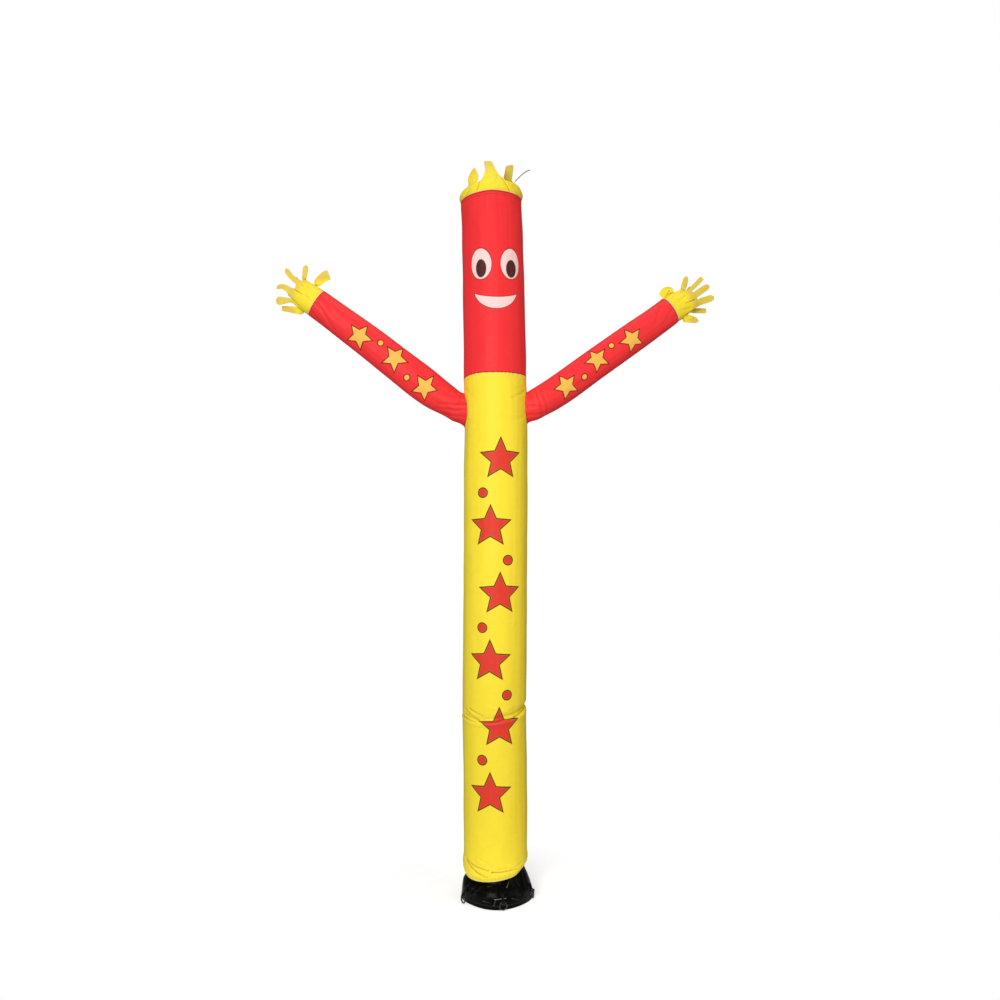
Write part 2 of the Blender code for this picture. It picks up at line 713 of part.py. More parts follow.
def smooth_line(points, steps):
    """Points read at even steps from a smooth curve through a few places."""
    places = [Vector(p) for p in points]
    line = []
    for i in range(steps + 1):
        share = i / steps * (len(places) - 1)
        k = min(int(share), len(places) - 2)
        t = share - k
        a, b = places[max(k - 1, 0)], places[k]
        c, d = places[k + 1], places[min(k + 2, len(places) - 1)]
        line.append(0.5 * (2.0 * b + (c - a) * t + (2.0 * a - 5.0 * b + 4.0 * c - d) * t ** 2
                           + (3.0 * b - a - 3.0 * c + d) * t ** 3))
    return line


def make_cord(look, into):
    curve = bpy.data.curves.new("hair_cord", "CURVE")
    curve.dimensions = "3D"
    curve.bevel_depth = CORD_RADIUS
    curve.bevel_resolution = 2
    curve.use_fill_caps = True
    line = smooth_line(CORD_POINTS, CORD_STEPS)
    spline = curve.splines.new("POLY")
    spline.points.add(len(line) - 1)
    for point, place in zip(spline.points, line):
        point.co = (*place, 1.0)
    curve.materials.append(look)
    cord = bpy.data.objects.new("hair_cord", curve)
    into.objects.link(cord)
    return cord


def main():
    clear_scene()
    parts = collection("inflatable_tube_man")
    cutters = collection("cutters")
    looks = {name: material(name) for name in COLOURS}
    make_collar(looks["black_cloth"], parts)
    make_body(looks["yellow_cloth"], parts, cutters)
    make_head(looks["red_cloth"], parts)
    make_hair(looks["yellow_cloth"], parts)
    for name, arm, hand in (("left", ARM_LEFT, HAND_LEFT), ("right", ARM_RIGHT, HAND_RIGHT)):
        make_arm("arm_" + name, arm, looks["red_cloth"], parts)
        make_hand("hand_" + name, hand, arm, ARM_TILT["arm_" + name], looks["yellow_cloth"], parts)
    for i, degrees in enumerate(RING_ANGLES, start=1):
        make_tab(f"tab_{i}", math.radians(degrees), looks["black_webbing"], parts)
        make_ring(f"ring_{i}", math.radians(degrees), looks["ring_metal"], parts)
    make_cord(looks["brown_cord"], parts)


main()
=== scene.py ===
from math import copysign, cos, exp, hypot, pi, radians, sin, sqrt

import bmesh
import bpy
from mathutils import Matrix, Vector, noise


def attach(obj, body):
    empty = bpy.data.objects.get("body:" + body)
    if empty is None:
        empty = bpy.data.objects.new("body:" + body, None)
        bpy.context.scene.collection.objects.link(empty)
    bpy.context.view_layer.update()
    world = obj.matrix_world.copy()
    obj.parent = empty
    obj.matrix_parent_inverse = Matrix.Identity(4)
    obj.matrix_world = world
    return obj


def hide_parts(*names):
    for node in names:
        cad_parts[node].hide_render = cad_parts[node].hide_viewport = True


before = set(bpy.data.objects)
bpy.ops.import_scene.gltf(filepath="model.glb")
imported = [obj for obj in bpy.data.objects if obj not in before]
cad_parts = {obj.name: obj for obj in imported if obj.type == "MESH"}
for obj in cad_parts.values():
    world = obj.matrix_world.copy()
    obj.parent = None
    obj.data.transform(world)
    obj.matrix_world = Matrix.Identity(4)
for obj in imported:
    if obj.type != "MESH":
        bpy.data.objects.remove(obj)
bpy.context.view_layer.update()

mm = 0.001


# Camera, at eye height in front of the figure

view = dict(place=(0.021, -3.970, 1.567), lens=34.38, sensor=36.0, shiftUp=0.018)


def setCamera():
    data = bpy.data.cameras.new("camera")
    data.lens = view["lens"]
    data.sensor_width = view["sensor"]
    data.shift_y = view["shiftUp"]
    data.clip_end = 60.0
    camera = bpy.data.objects.new("camera", data)
    camera.location = view["place"]
    camera.rotation_euler = (radians(90.0), 0.0, 0.0)
    bpy.context.scene.collection.objects.link(camera)
    bpy.context.scene.camera = camera


# Small helpers

def ease(value):
    value = min(1.0, max(0.0, value))
    return value * value * (3.0 - 2.0 * value)


def hill(distance, width):
    return exp(-(distance / width) ** 2)


def named(columns, table):
    return [dict(zip(columns, row)) for row in table]


def alongTable(table, share):
    # a smooth curve through the rows of a table, read at a share of its length
    place = share * (len(table) - 1)
    k = min(int(place), len(table) - 2)
    t = place - k
    rows = [table[max(k - 1, 0)], table[k], table[k + 1], table[min(k + 2, len(table) - 1)]]
    read = []
    for a, b, c, d in zip(*rows):
        read.append(0.5 * (2.0 * b + (c - a) * t + (2.0 * a - 5.0 * b + 4.0 * c - d) * t ** 2
                           + (3.0 * b - a - 3.0 * c + d) * t ** 3))
    return read


def betweenRows(table, value, shape=lambda share: share):
    # the second column, read at a value of the first
    for (low, first), (high, second) in zip(table, table[1:]):
        if value <= high:
            return first + (second - first) * shape(max(0.0, (value - low) / (high - low)))
    return table[-1][1]


def roundPoint(angle, radius, z, lean=0.0):
    return Vector((lean + radius * cos(angle), radius * sin(angle), z))


def nearLine(spot, start, end):
    # how far along a line its nearest point lies, and the distance to it
    share = min(1.0, max(0.0, (spot - start).dot(end - start) / (end - start).length_squared))
    return share, (spot - start.lerp(end, share)).length


# Cloth pieces

hollowBend = 120.0  # bend per metre that counts as a full crease


def fillMap(bm, flatMap, spotOf):
    for face in bm.faces:
        for loop in face.loops:
            loop[flatMap].uv = spotOf(loop.vert)


def sewTube(sides, rows, place):
    # a flat cloth, sewn where its edges meet; place gives the point and the spot on the flat cloth
    bm = bmesh.new()
    bmesh.ops.create_grid(bm, x_segments=sides, y_segments=rows, size=0.5)
    flatMap = bm.loops.layers.uv.new("cloth")
    spots = {}
    for vert in bm.verts:
        vert.co, spots[vert] = place(vert.co.x + 0.5, vert.co.y + 0.5)
    fillMap(bm, flatMap, spots.get)
    bmesh.ops.remove_doubles(bm, verts=bm.verts, dist=0.00005)
    return bm


def markHollows(bm, rounds=3):
    # how deep each point lies in a crease, from the bend of the cloth around it; the materials paint crease
    # shade and ridge highlight from it
    bm.normal_update()
    layer = bm.verts.layers.float.new("hollow")
    near = {vert: [edge.other_vert(vert) for edge in vert.link_edges] for vert in bm.verts}
    bend = {}
    for vert, others in near.items():
        total = 0.0
        for other in others:
            away = other.co - vert.co
            total += away.dot(vert.normal) / max(away.length_squared, 1e-9)
        bend[vert] = 2.0 * total / max(len(others), 1)
    for _ in range(rounds):
        bend = {vert: 0.5 * bend[vert] + 0.5 * sum(bend[other] for other in others) / max(len(others), 1)
                for vert, others in near.items()}
    for vert in bm.verts:
        vert[layer] = min(1.0, max(-1.0, bend[vert] / hollowBend))


def faceOut(bm, middle=lambda point: Vector((0.0, 0.0, point.z))):
    # turns every face round if most of them look at the middle line
    bm.normal_update()
    out = 0.0
    for face in bm.faces:
        centre = face.calc_center_median()
        out += face.normal.dot(centre - middle(centre))
    if out < 0.0:
        bmesh.ops.reverse_faces(bm, faces=bm.faces)


def newPiece(name, bm, look):
    mesh = bpy.data.meshes.new(name)
    bm.to_mesh(mesh)
    bm.free()
    piece = bpy.data.objects.new(name, mesh)
    bpy.context.scene.collection.objects.link(piece)
    mesh.materials.append(look)
    mesh.shade_smooth()
    return piece


def standsFor(piece, node):
    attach(piece, "root")
    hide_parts(node)


def addWall(piece, thickness, offset=-1.0):
    thick = piece.modifiers.new("wall", "SOLIDIFY")
    thick.thickness = thickness
    thick.offset = offset


def tubePiece(name, bm, look, node, wall):
    markHollows(bm)
    piece = newPiece(name, bm, look)
    addWall(piece, wall)
    standsFor(piece, node)
    return piece


def stripPiece(name, bm, look, node, wall, finish):
    # a cut cloth: rounded, finished as a fine mesh, then given its thickness
    piece = newPiece(name, bm, look)
    rounding = piece.modifiers.new("rounding", "SUBSURF")
    rounding.levels = rounding.render_levels = 3
    rounding.boundary_smooth = "PRESERVE_CORNERS"
    graph = bpy.context.evaluated_depsgraph_get()
    mesh = bpy.data.meshes.new_from_object(piece.evaluated_get(graph))
    piece.modifiers.clear()
    piece.data = mesh
    bm = bmesh.new()
    bm.from_mesh(mesh)
    finish(bm)
    bm.to_mesh(mesh)
    bm.free()
    mesh.shade_smooth()
    addWall(piece, wall)
    standsFor(piece, node)
    return piece


# Shader nodes

def treeOf(*values):
    return next(value.id_data for value in values if isinstance(value, bpy.types.NodeSocket))


def feed(value, socket):
    # a link from another socket, or a plain value
    if isinstance(value, bpy.types.NodeSocket):
        socket.id_data.links.new(value, socket)
    elif value is not None:
        socket.default_value = (*value, 1.0) if socket.type == "RGBA" else value


def feedAll(node, inputs):
    for title, value in inputs.items():
        feed(value, node.inputs[title])
    return node


def newNode(tree, kind, inputs, **settings):
    node = tree.nodes.new("ShaderNode" + kind)
    for title, value in settings.items():
        setattr(node, title, value)
    return feedAll(node, inputs)


def sums(operation, *values):
    node = newNode(treeOf(*values), "Math", {}, operation=operation)
    for socket, value in zip(node.inputs, values):
        feed(value, socket)
    return node.outputs[0]


def plus(first, second):
    return sums("ADD", first, second)


def minus(first, second):
    return sums("SUBTRACT", first, second)


def times(first, second):
    return sums("MULTIPLY", first, second)


def clamped(value, high=1.0):
    return sums("MAXIMUM", sums("MINIMUM", value, high), 0.0)


def between(value, low, high):
    # one where the value lies between two bounds
    return times(sums("GREATER_THAN", value, low), sums("LESS_THAN", value, high))


def ranged(value, low, high, first, second, kind="LINEAR"):
    inputs = {"Value": value, "From Min": low, "From Max": high, "To Min": first, "To Max": second}
    return newNode(treeOf(value), "MapRange", inputs, interpolation_type=kind).outputs["Result"]


def shaded(noiseValue, low, high):
    return ranged(noiseValue, 0.3, 0.7, low, high)


def mixed(share, first, second, blend="MIX"):
    node = newNode(treeOf(share, first, second), "Mix", {}, data_type="RGBA", blend_type=blend)
    sockets = [node.inputs[0]] + [socket for socket in node.inputs if socket.type == "RGBA"]
    for socket, value in zip(sockets, (share, first, second)):
        feed(value, socket)
    return next(socket for socket in node.outputs if socket.type == "RGBA")


def tinted(colour, mask, share, tone):
    return mixed(times(mask, share), colour, tone)


def blotches(tree, place, scale, detail, distortion=0.0):
    inputs = {"Vector": place, "Scale": scale, "Detail": detail, "Distortion": distortion}
    return newNode(tree, "TexNoise", inputs).outputs["Fac"]


def bumped(tree, height, distance, strength=None, normal=None):
    inputs = {"Height": height, "Distance": distance, "Strength": strength, "Normal": normal}
    return newNode(tree, "Bump", inputs).outputs[0]


def splitPlace(tree, place):
    return newNode(tree, "SeparateXYZ", {"Vector": place}).outputs


def attribute(tree, name):
    return newNode(tree, "Attribute", {}, attribute_name=name).outputs["Fac"]


# Shader groups that several cloths share

def newGroup(name, takes, gives):
    group = bpy.data.node_groups.new(name, "ShaderNodeTree")
    for side, titles in (("INPUT", takes), ("OUTPUT", gives)):
        for title in titles:
            kind = "NodeSocketVector" if title == "Place" else "NodeSocketFloat"
            group.interface.new_socket(name=title, in_out=side, socket_type=kind)
    return group, group.nodes.new("NodeGroupInput").outputs, group.nodes.new("NodeGroupOutput").inputs


def weaveGroup():
    # plain weave: threads over and under, on the flat cloth
    group, has, out = newGroup("plainWeave", ["Place", "Thread"], ["Height"])
    split = splitPlace(group, has["Place"])
    turns = sums("DIVIDE", pi, has["Thread"])
    threads = times(sums("SINE", times(split[0], turns)), sums("SINE", times(split[1], turns)))
    feed(sums("MULTIPLY_ADD", threads, 0.5, 0.5), out["Height"])
    return group


def crinkleGroup():
    # thin cloth's small creases, and the light and dark they leave
    group, has, out = newGroup("clothCrinkle", ["Place", "Size"], ["Height", "Shade"])
    scale = sums("DIVIDE", 1.0, has["Size"])
    soft = blotches(group, has["Place"], scale, 2.0, 0.9)
    fine = blotches(group, has["Place"], times(scale, 3.7), 3.0, 1.6)
    ridge = sums("ABSOLUTE", minus(soft, 0.5))
    sharp = minus(1.0, sums("MINIMUM", times(ridge, 7.0), 1.0))
    creases = sums("MULTIPLY_ADD", fine, 0.35, times(sharp, 0.30))
    feed(plus(creases, times(soft, 0.5)), out["Height"])
    feed(soft, out["Shade"])
    return group


def starEdge(has, far):
    # five points, folded onto one half of one of them
    inner = 0.46
    sector = pi / 5.0
    edge = Vector((inner * cos(sector) - 1.0, inner * sin(sector))).normalized()
    turn = sums("PINGPONG", sums("ARCTAN2", has["Across"], has["Up"]), sector)
    along = minus(times(far, sums("COSINE", turn)), has["Size"])
    return plus(times(along, edge.y), times(times(far, sums("SINE", turn)), -edge.x))


def discEdge(has, far):
    return minus(far, has["Size"])


def shapeGroup(name, edge):
    # distance to the edge of a printed shape, less than nothing inside it
    group, has, out = newGroup(name, ["Across", "Up", "Size"], ["Distance"])
    far = sums("SQRT", plus(times(has["Across"], has["Across"]), times(has["Up"], has["Up"])))
    feed(edge(has, far), out["Distance"])
    return group


def inkGroup():
    # printed ink: the filled shape and its dark outline, with slightly soft edges
    group, has, out = newGroup("ink", ["Distance", "Outline"], ["Fill", "Line"])
    softEdge = 0.0024
    fill = clamped(minus(0.5, sums("DIVIDE", has["Distance"], softEdge)))
    grown = minus(has["Distance"], has["Outline"])
    whole = clamped(minus(0.5, sums("DIVIDE", grown, softEdge)))
    feed(fill, out["Fill"])
    feed(sums("MAXIMUM", minus(whole, fill), 0.0), out["Line"])
    return group


def stitchGroup():
    # a line of stitches at one height of the flat cloth
    group, has, out = newGroup("stitches", ["Along", "Off", "Pitch"], ["Thread"])
    beat = sums("PINGPONG", has["Along"], times(has["Pitch"], 0.5))
    stitch = sums("GREATER_THAN", beat, times(has["Pitch"], 0.12))
    row = sums("LESS_THAN", sums("ABSOLUTE", has["Off"]), 0.0007)
    feed(times(stitch, row), out["Thread"])
    return group


groups = {"weave": weaveGroup(), "crinkle": crinkleGroup(), "star": shapeGroup("printedStar", starEdge),
          "disc": shapeGroup("printedDisc", discEdge), "ink": inkGroup(), "stitches": stitchGroup()}


def useGroup(name, **inputs):
    return newNode(treeOf(*inputs.values()), "Group", inputs, node_tree=groups[name]).outputs


def printed(colour, distance, outline, fill, line):
    ink = useGroup("ink", Distance=distance, Outline=outline)
    return mixed(ink["Line"], mixed(ink["Fill"], colour, fill), line)


# Materials

colours = dict(
    yellowCloth=(1.0, 0.790, 0.042), redCloth=(0.930, 0.034, 0.040), blackCloth=(0.0022, 0.0028, 0.0022),
    redInk=(0.790, 0.048, 0.030), darkInk=(0.110, 0.008, 0.006), goldInk=(0.950, 0.520, 0.085),
    eyeWhite=(0.985, 0.700, 0.660), pupil=(0.085, 0.022, 0.020), faceLine=(0.330, 0.024, 0.020),
    # strip on the next line is a painted shade tone for the strips that hang free
    seamLine=(0.260, 0.010, 0.008), peach=(0.960, 0.560, 0.260), strip=(0.760, 0.560, 0.085),
    # the first colour on the next line is a painted highlight for the hem's bottom edge
    hemHighlightTone=(1.0, 0.93, 0.55), yellowThread=(0.80, 0.50, 0.02), blackThread=(0.045, 0.045, 0.045),
    ring=(0.014, 0.014, 0.015), ringWorn=(0.10, 0.10, 0.10), cord=(0.110, 0.048, 0.026),
    cordShade=(0.055, 0.024, 0.014), tape=(0.008, 0.008, 0.008), tapeShade=(0.002, 0.002, 0.002),
)
# the crease keys set the painted shade in the creases, the ridge keys the painted highlight on the ridges
tubeFinish = dict(thread=0.0007, threadShade=0.05, threadDepth=0.00004, crinkle=0.050, crinkleShade=0.035,
                  crinkleDepth=0.0012, rough=0.50, specular=0.10,
                  creaseShadeTone=(0.50, 0.38, 0.22), creaseShadeShare=1.0, ridgeHighlightShare=0.09,
                  ridgeHighlightTone=(1.0, 0.92, 0.62), ridgeHighlightPower=1.0)
stripFinish = dict(tubeFinish, crinkle=0.030, crinkleShade=0.07, crinkleDepth=0.0016, creaseShadeShare=0.8,
                   ridgeHighlightShare=0.0)
# the black cloth's sharp ridges get a strong painted highlight
collarFinish = dict(thread=0.0009, threadShade=0.20, threadDepth=0.00006, crinkle=0.040, crinkleShade=0.30,
                    crinkleDepth=0.0014, rough=0.28, specular=0.036,
                    creaseShadeTone=(0.50, 0.50, 0.50), creaseShadeShare=0.8, ridgeHighlightShare=0.300,
                    ridgeHighlightTone=(0.75, 0.80, 0.80), ridgeHighlightPower=2.2)
bodyPrint = dict(first=0.455, pitch=0.272, last=5.0, aside=0.020, star=0.079, disc=0.0165, discAside=0.052,
                 outline=0.0052)
armPrint = dict(first=0.185, pitch=0.165, last=2.0, aside=0.008, star=0.050, disc=0.0105, discAside=0.020,
                outline=0.0034)
trim = dict(bodyStitch=0.0045, collarStitch=0.0050, neckBand=0.0050, hemHighlightBand=0.0045, wristBand=0.0045,
            seamBand=0.0045, shadeReach=0.045)


def newLook(name):
    look = bpy.data.materials.new(name)
    look.use_nodes = True
    return look, look.node_tree, look.node_tree.nodes["Principled BSDF"]


def flatPlace(tree):
    place = newNode(tree, "UVMap", {}, uv_map="cloth").outputs[0]
    split = splitPlace(tree, place)
    return place, split[0], split[1]


def objectPlace(tree):
    return newNode(tree, "TexCoord", {}).outputs["Object"]


def paintCreaseShadeAndRidgeHighlight(tree, colour, finish):
    # painted shade darkens the creases and a painted highlight pales the ridges, both read from the cloth's
    # bend
    bend = attribute(tree, "hollow")
    dark = mixed(1.0, colour, finish["creaseShadeTone"], "MULTIPLY")
    colour = tinted(colour, sums("MAXIMUM", bend, 0.0), finish["creaseShadeShare"], dark)
    ridge = sums("POWER", sums("MAXIMUM", times(bend, -1.0), 0.0), finish["ridgeHighlightPower"])
    return tinted(colour, ridge, finish["ridgeHighlightShare"], finish["ridgeHighlightTone"])


def clothSurface(tree, shader, place, colour, finish, raised=None):
    colour = paintCreaseShadeAndRidgeHighlight(tree, colour, finish)
    weave = useGroup("weave", Place=place, Thread=finish["thread"])["Height"]
    crinkle = useGroup("crinkle", Place=place, Size=finish["crinkle"])
    # painted shade from the small crinkles and from between the threads darkens the colour
    crinkleShading = shaded(crinkle["Shade"], 1.0 - finish["crinkleShade"], 1.0)
    tone = times(shaded(weave, 1.0 - finish["threadShade"], 1.0), crinkleShading)
    grey = newNode(tree, "CombineColor", {"Red": tone, "Green": tone, "Blue": tone}).outputs[0]
    small = bumped(tree, crinkle["Height"], finish["crinkleDepth"], 0.6)
    height = weave if raised is None else plus(weave, raised)
    feedAll(shader, {
        "Base Color": mixed(1.0, colour, grey, "MULTIPLY"),
        "Roughness": shaded(crinkle["Shade"], finish["rough"] - 0.05, finish["rough"] + 0.05),
        "Normal": bumped(tree, height, finish["threadDepth"], 0.5, small),
        "Specular IOR Level": finish["specular"],
    })


def rowOfPrints(along, first, pitch, last):
    # place along one print of a row of equal prints, and one or minus one by its number
    steps = sums("DIVIDE", minus(along, first), pitch)
    number = clamped(sums("ROUND", steps), last)
    sway = minus(times(sums("MODULO", number, 2.0), 2.0), 1.0)
    return times(minus(steps, number), pitch), sway


def printedCloth(name, ground, fill, prints, sideways):
    # cloth with a row of stars, set to and fro, and a small disc between each two
    look, tree, shader = newLook(name)
    place, first, second = flatPlace(tree)
    across, up = (second, first) if sideways else (first, second)
    pitch = prints["pitch"]
    local, sway = rowOfPrints(up, prints["first"], pitch, prints["last"])
    aside = minus(across, times(sway, prints["aside"]))
    starAcross, starUp = (local, aside) if sideways else (aside, local)
    star = useGroup("star", Across=starAcross, Up=starUp, Size=prints["star"])["Distance"]
    local, sway = rowOfPrints(up, prints["first"] + 0.5 * pitch, pitch, prints["last"] - 1.0)
    aside = minus(across, times(sway, prints["discAside"]))
    disc = useGroup("disc", Across=local, Up=aside, Size=prints["disc"])["Distance"]
    colour = printed(colours[ground], sums("MINIMUM", star, disc), prints["outline"], colours[fill],
                     colours["darkInk"])
    return look, tree, shader, place, across, up, colour


def bodyLook():
    look, tree, shader, place, across, up, colour = printedCloth(
        "yellowPrintedCloth", "yellowCloth", "redInk", bodyPrint, False)
    off = minus(up, bodySizes["hemHeight"] + bodySizes["stitchRow"])
    thread = useGroup("stitches", Along=across, Off=off, Pitch=trim["bodyStitch"])["Thread"]
    colour = tinted(colour, thread, 0.35, colours["yellowThread"])
    neck = sums("GREATER_THAN", up, bodySizes["neck"] + buckle["swallowed"] - trim["neckBand"])
    colour = tinted(colour, neck, 0.45, colours["peach"])
    # a painted highlight along the hem's bottom edge
    edge = sums("LESS_THAN", up, bodySizes["hemHeight"] + trim["hemHighlightBand"])
    colour = tinted(colour, edge, 0.55, colours["hemHighlightTone"])
    clothSurface(tree, shader, place, colour, tubeFinish, thread)
    return look


def armLook(name, length):
    look, tree, shader, place, _, up, colour = printedCloth(
        name + "SleevePrint", "redCloth", "goldInk", armPrint, True)
    wrist = sums("GREATER_THAN", up, length - trim["wristBand"])
    colour = tinted(colour, wrist, 0.75, colours["seamLine"])
    clothSurface(tree, shader, place, colour, tubeFinish)
    return look


def stripLook(name, shadeFrom):
    # the seam's pale edge, the cloth, and painted shade on the strips that hang free
    look, tree, shader = newLook(name)
    place, _, _ = flatPlace(tree)
    out = attribute(tree, "fromSeam")
    freeStripShade = ranged(out, shadeFrom, shadeFrom + trim["shadeReach"], 0.0, 0.85, "SMOOTHSTEP")
    colour = mixed(freeStripShade, colours["yellowCloth"], colours["strip"])
    colour = tinted(colour, sums("LESS_THAN", out, trim["seamBand"]), 0.8, colours["peach"])
    clothSurface(tree, shader, place, colour, stripFinish)
    return look


def faceLook():
    # the print on the head: two oval eyes and a crescent mouth
    look, tree, shader = newLook("redFaceCloth")
    place, across, up = flatPlace(tree)
    colour = colours["redCloth"]
    for part in named(faceColumns, facePrint):
        high = minus(up, part["up"] * mm)
        near = minus(minus(across, part["across"] * mm), times(high, part["slant"]))
        oval = useGroup("disc", Across=near, Up=times(high, part["width"] / part["height"]),
                        Size=part["width"] * mm)["Distance"]
        colour = printed(colour, oval, part["outline"] * mm, colours[part["colour"]], colours["faceLine"])
    for low, high, share in seamLines:
        colour = tinted(colour, between(up, low, high), share, colours["seamLine"])
    aside = minus(across, mouth["across"])
    below, above = (useGroup("disc", Across=aside, Up=minus(up, mouth[edge + "Middle"]),
                             Size=mouth[edge + "Radius"])["Distance"] for edge in ("lower", "upper"))
    smile = sums("MAXIMUM", below, times(above, -1.0))
    colour = printed(colour, smile, mouth["outline"], colours["eyeWhite"], colours["faceLine"])
    clothSurface(tree, shader, place, colour, tubeFinish)
    return look


def collarLook():
    look, tree, shader = newLook("blackCoatedCloth")
    place, across, up = flatPlace(tree)
    off = minus(up, collarSizes["stitchRow"])
    thread = useGroup("stitches", Along=across, Off=off, Pitch=trim["collarStitch"])["Thread"]
    colour = mixed(thread, colours["blackCloth"], colours["blackThread"])
    clothSurface(tree, shader, place, colour, collarFinish, thread)
    return look


def webbingLook():
    # ribbed tape
    look, tree, shader = newLook("blackWebbing")
    _, across, up = flatPlace(tree)
    rib = sums("SINE", times(across, pi / 0.0012))
    height = sums("MULTIPLY_ADD", sums("SINE", times(up, pi / 0.0007)), 0.4, rib)
    tone = shaded(sums("MULTIPLY_ADD", height, 0.2, 0.5), 0.0, 1.0)
    feedAll(shader, {"Base Color": mixed(tone, colours["tapeShade"], colours["tape"]), "Roughness": 0.70,
                     "Specular IOR Level": 0.12, "Normal": bumped(tree, height, 0.0002)})
    return look


def ringLook():
    # blackened metal, a little worn bright
    look, tree, shader = newLook("blackRing")
    wear = blotches(tree, objectPlace(tree), 160.0, 4.0)
    spots = sums("POWER", shaded(wear, 0.0, 1.0), 3.0)
    feedAll(shader, {"Base Color": mixed(spots, colours["ring"], colours["ringWorn"]), "Metallic": 0.35,
                     "Roughness": shaded(wear, 0.26, 0.42), "Specular IOR Level": 0.30})
    return look


def cordLook():
    # twisted cord: slanting strands along its length
    look, tree, shader = newLook("brownCord")
    split = splitPlace(tree, objectPlace(tree))
    slant = plus(times(split[0], 2600.0), times(split[2], 1500.0))
    strand = sums("MULTIPLY_ADD", sums("SINE", slant), 0.5, 0.5)
    feedAll(shader, {"Base Color": mixed(strand, colours["cordShade"], colours["cord"]), "Roughness": 0.65,
                     "Specular IOR Level": 0.10, "Normal": bumped(tree, strand, 0.0002)})
    return look


# Cord end that stands out of the hair

cordSizes = dict(radius=0.0017, steps=18)
cordRoute = ((0.0830, -0.0180, 2.9590), (0.0955, -0.0195, 2.9715), (0.1085, -0.0210, 2.9840),
             (0.1220, -0.0220, 2.9945), (0.1335, -0.0225, 3.0015), (0.1450, -0.0225, 3.0050))


def makeCord():
    line = [Vector(alongTable(cordRoute, i / cordSizes["steps"])) for i in range(cordSizes["steps"] + 1)]
    curve = bpy.data.curves.new("hairCord", "CURVE")
    curve.dimensions = "3D"
    curve.bevel_depth = cordSizes["radius"]
    curve.bevel_resolution = 3
    curve.use_fill_caps = True
    spline = curve.splines.new("POLY")
    spline.points.add(len(line) - 1)
    for point, place in zip(spline.points, line):
        point.co = (*place, 1.0)
    curve.materials.append(cordLook())
    cord = bpy.data.objects.new("hairCord", curve)
    bpy.context.scene.collection.objects.link(cord)
    standsFor(cord, "hair_cord")


# Body: the long yellow tube

bodySizes = dict(
    radius=0.1295, swell=0.0025, swellTop=2.08, swellBottom=1.66, hemRadius=0.1215, hemHeight=0.1105,
    hemSlope=0.0155, hemDip=0.0095, neck=2.154, sides=210, frontShare=0.38, frontTurn=100.0, wall=0.0012,
    stitchRow=0.012, rightLift=0.012, armholeHalfDepth=0.033,
)
armholes = ((-1, 2.016, 0.052), (1, 2.028, 0.046))  # side, height and half height, hidden inside the sleeves
tubeDrift = ((0.000, 2.5), (0.250, 2.5), (0.520, 1.0), (0.770, -2.5), (1.120, 0.5), (1.640, 3.0),
             (1.920, 4.4),
             (2.060, 2.5), (2.200, -0.5), (2.530, -5.0), (2.720, -10.0), (2.888, -16.0), (3.060, -17.0))
bodyRows = ((0, 0.1105), (58, 0.215), (72, 0.700), (124, 0.836), (152, 1.920), (194, 2.154))
buckle = dict(height=0.770, frontDrop=0.022, rightRise=0.014, swell=0.10, depth=0.0050,
              rightDepth=0.0045, above=0.012, below=0.014, spread=0.012,
              creaseDepth=0.0040, creaseWidth=0.0036, lip=0.0016, lipBelow=0.010, lipWidth=0.007,
              swallowed=0.010)
gather = dict(rise=0.030, bulge=0.0028, leftBulge=0.0010, ripple=0.0008, height=0.042,
              spread=0.022, settle=0.110, foldStart=0.025)

# folds pressed into the cloth: angle and height of both ends, depth and half width in mm
foldColumns = ("fromAngle", "fromHeight", "toAngle", "toHeight", "depth", "halfWidth")
bodyFolds = (
    (-160, 171, -105, 118, 6.0, 4.6), (-158, 171, -103, 148, 5.0, 4.8), (-128, 136, -112, 118, 3.0, 4.0),
    (-124, 184, -105, 168, -3.0, 8.0), (-105, 168, -90, 151, -3.0, 6.0), (-92, 152, -64, 158, 2.4, 6.0),
    (-96, 141, -50, 146, 4.6, 4.6), (-62, 150, -36, 168, 2.6, 6.0), (-140, 128, -118, 116, -3.0, 5.0),
    (100, 165, 150, 125, 4.0, 9.0), (20, 165, 60, 120, 4.0, 9.0),
    (-156, 786, -120, 751, 5.0, 4.0), (-140, 792, -111, 769, 4.0, 3.6), (-155, 768, -118, 748, 4.5, 4.0),
    (-50, 759, -12, 783, 4.5, 4.2), (-62, 752, -28, 766, 2.6, 4.0), (-104, 752, -78, 757, -2.0, 5.0),
    (-60, 790, -28, 802, 2.0, 7.0), (-100, 805, -75, 785, -1.4, 9.0),
    (-24, 2086, -58, 2055, 3.4, 6.0), (-28, 1985, -56, 1962, 1.6, 8.0),
    (-158, 2092, -136, 2066, 2.0, 7.0),
    (-152, 1968, -126, 1944, 1.4, 8.0), (-26, 2108, -48, 2094, 1.6, 6.0),
)


def tubeLean(z):
    return betweenRows(tubeDrift, z, ease) * mm


def bodyRadius(z):
    return bodySizes["radius"] + bodySizes["swell"] * ease(
        (bodySizes["swellTop"] - z) / (bodySizes["swellTop"] - bodySizes["swellBottom"]))


def hemHeight(angle):
    return bodySizes["hemHeight"] + bodySizes["hemSlope"] * cos(angle) + bodySizes["hemDip"] * sin(angle)


def spread(around):
    # more columns at the front of a tube than at its back
    off = abs(around - 0.5)
    share, turn = bodySizes["frontShare"], bodySizes["frontTurn"]
    far = turn * off / share if off < share else turn + (180.0 - turn) * (off - share) / (0.5 - share)
    return radians(copysign(far, around - 0.5) - 90.0)


def neckDrop(angle):
    # the seam between head and body hangs lower at the left
    across = cos(angle)
    return 0.0123 * max(0.0, -across) ** 4 + 0.0020 * max(0.0, across) ** 4


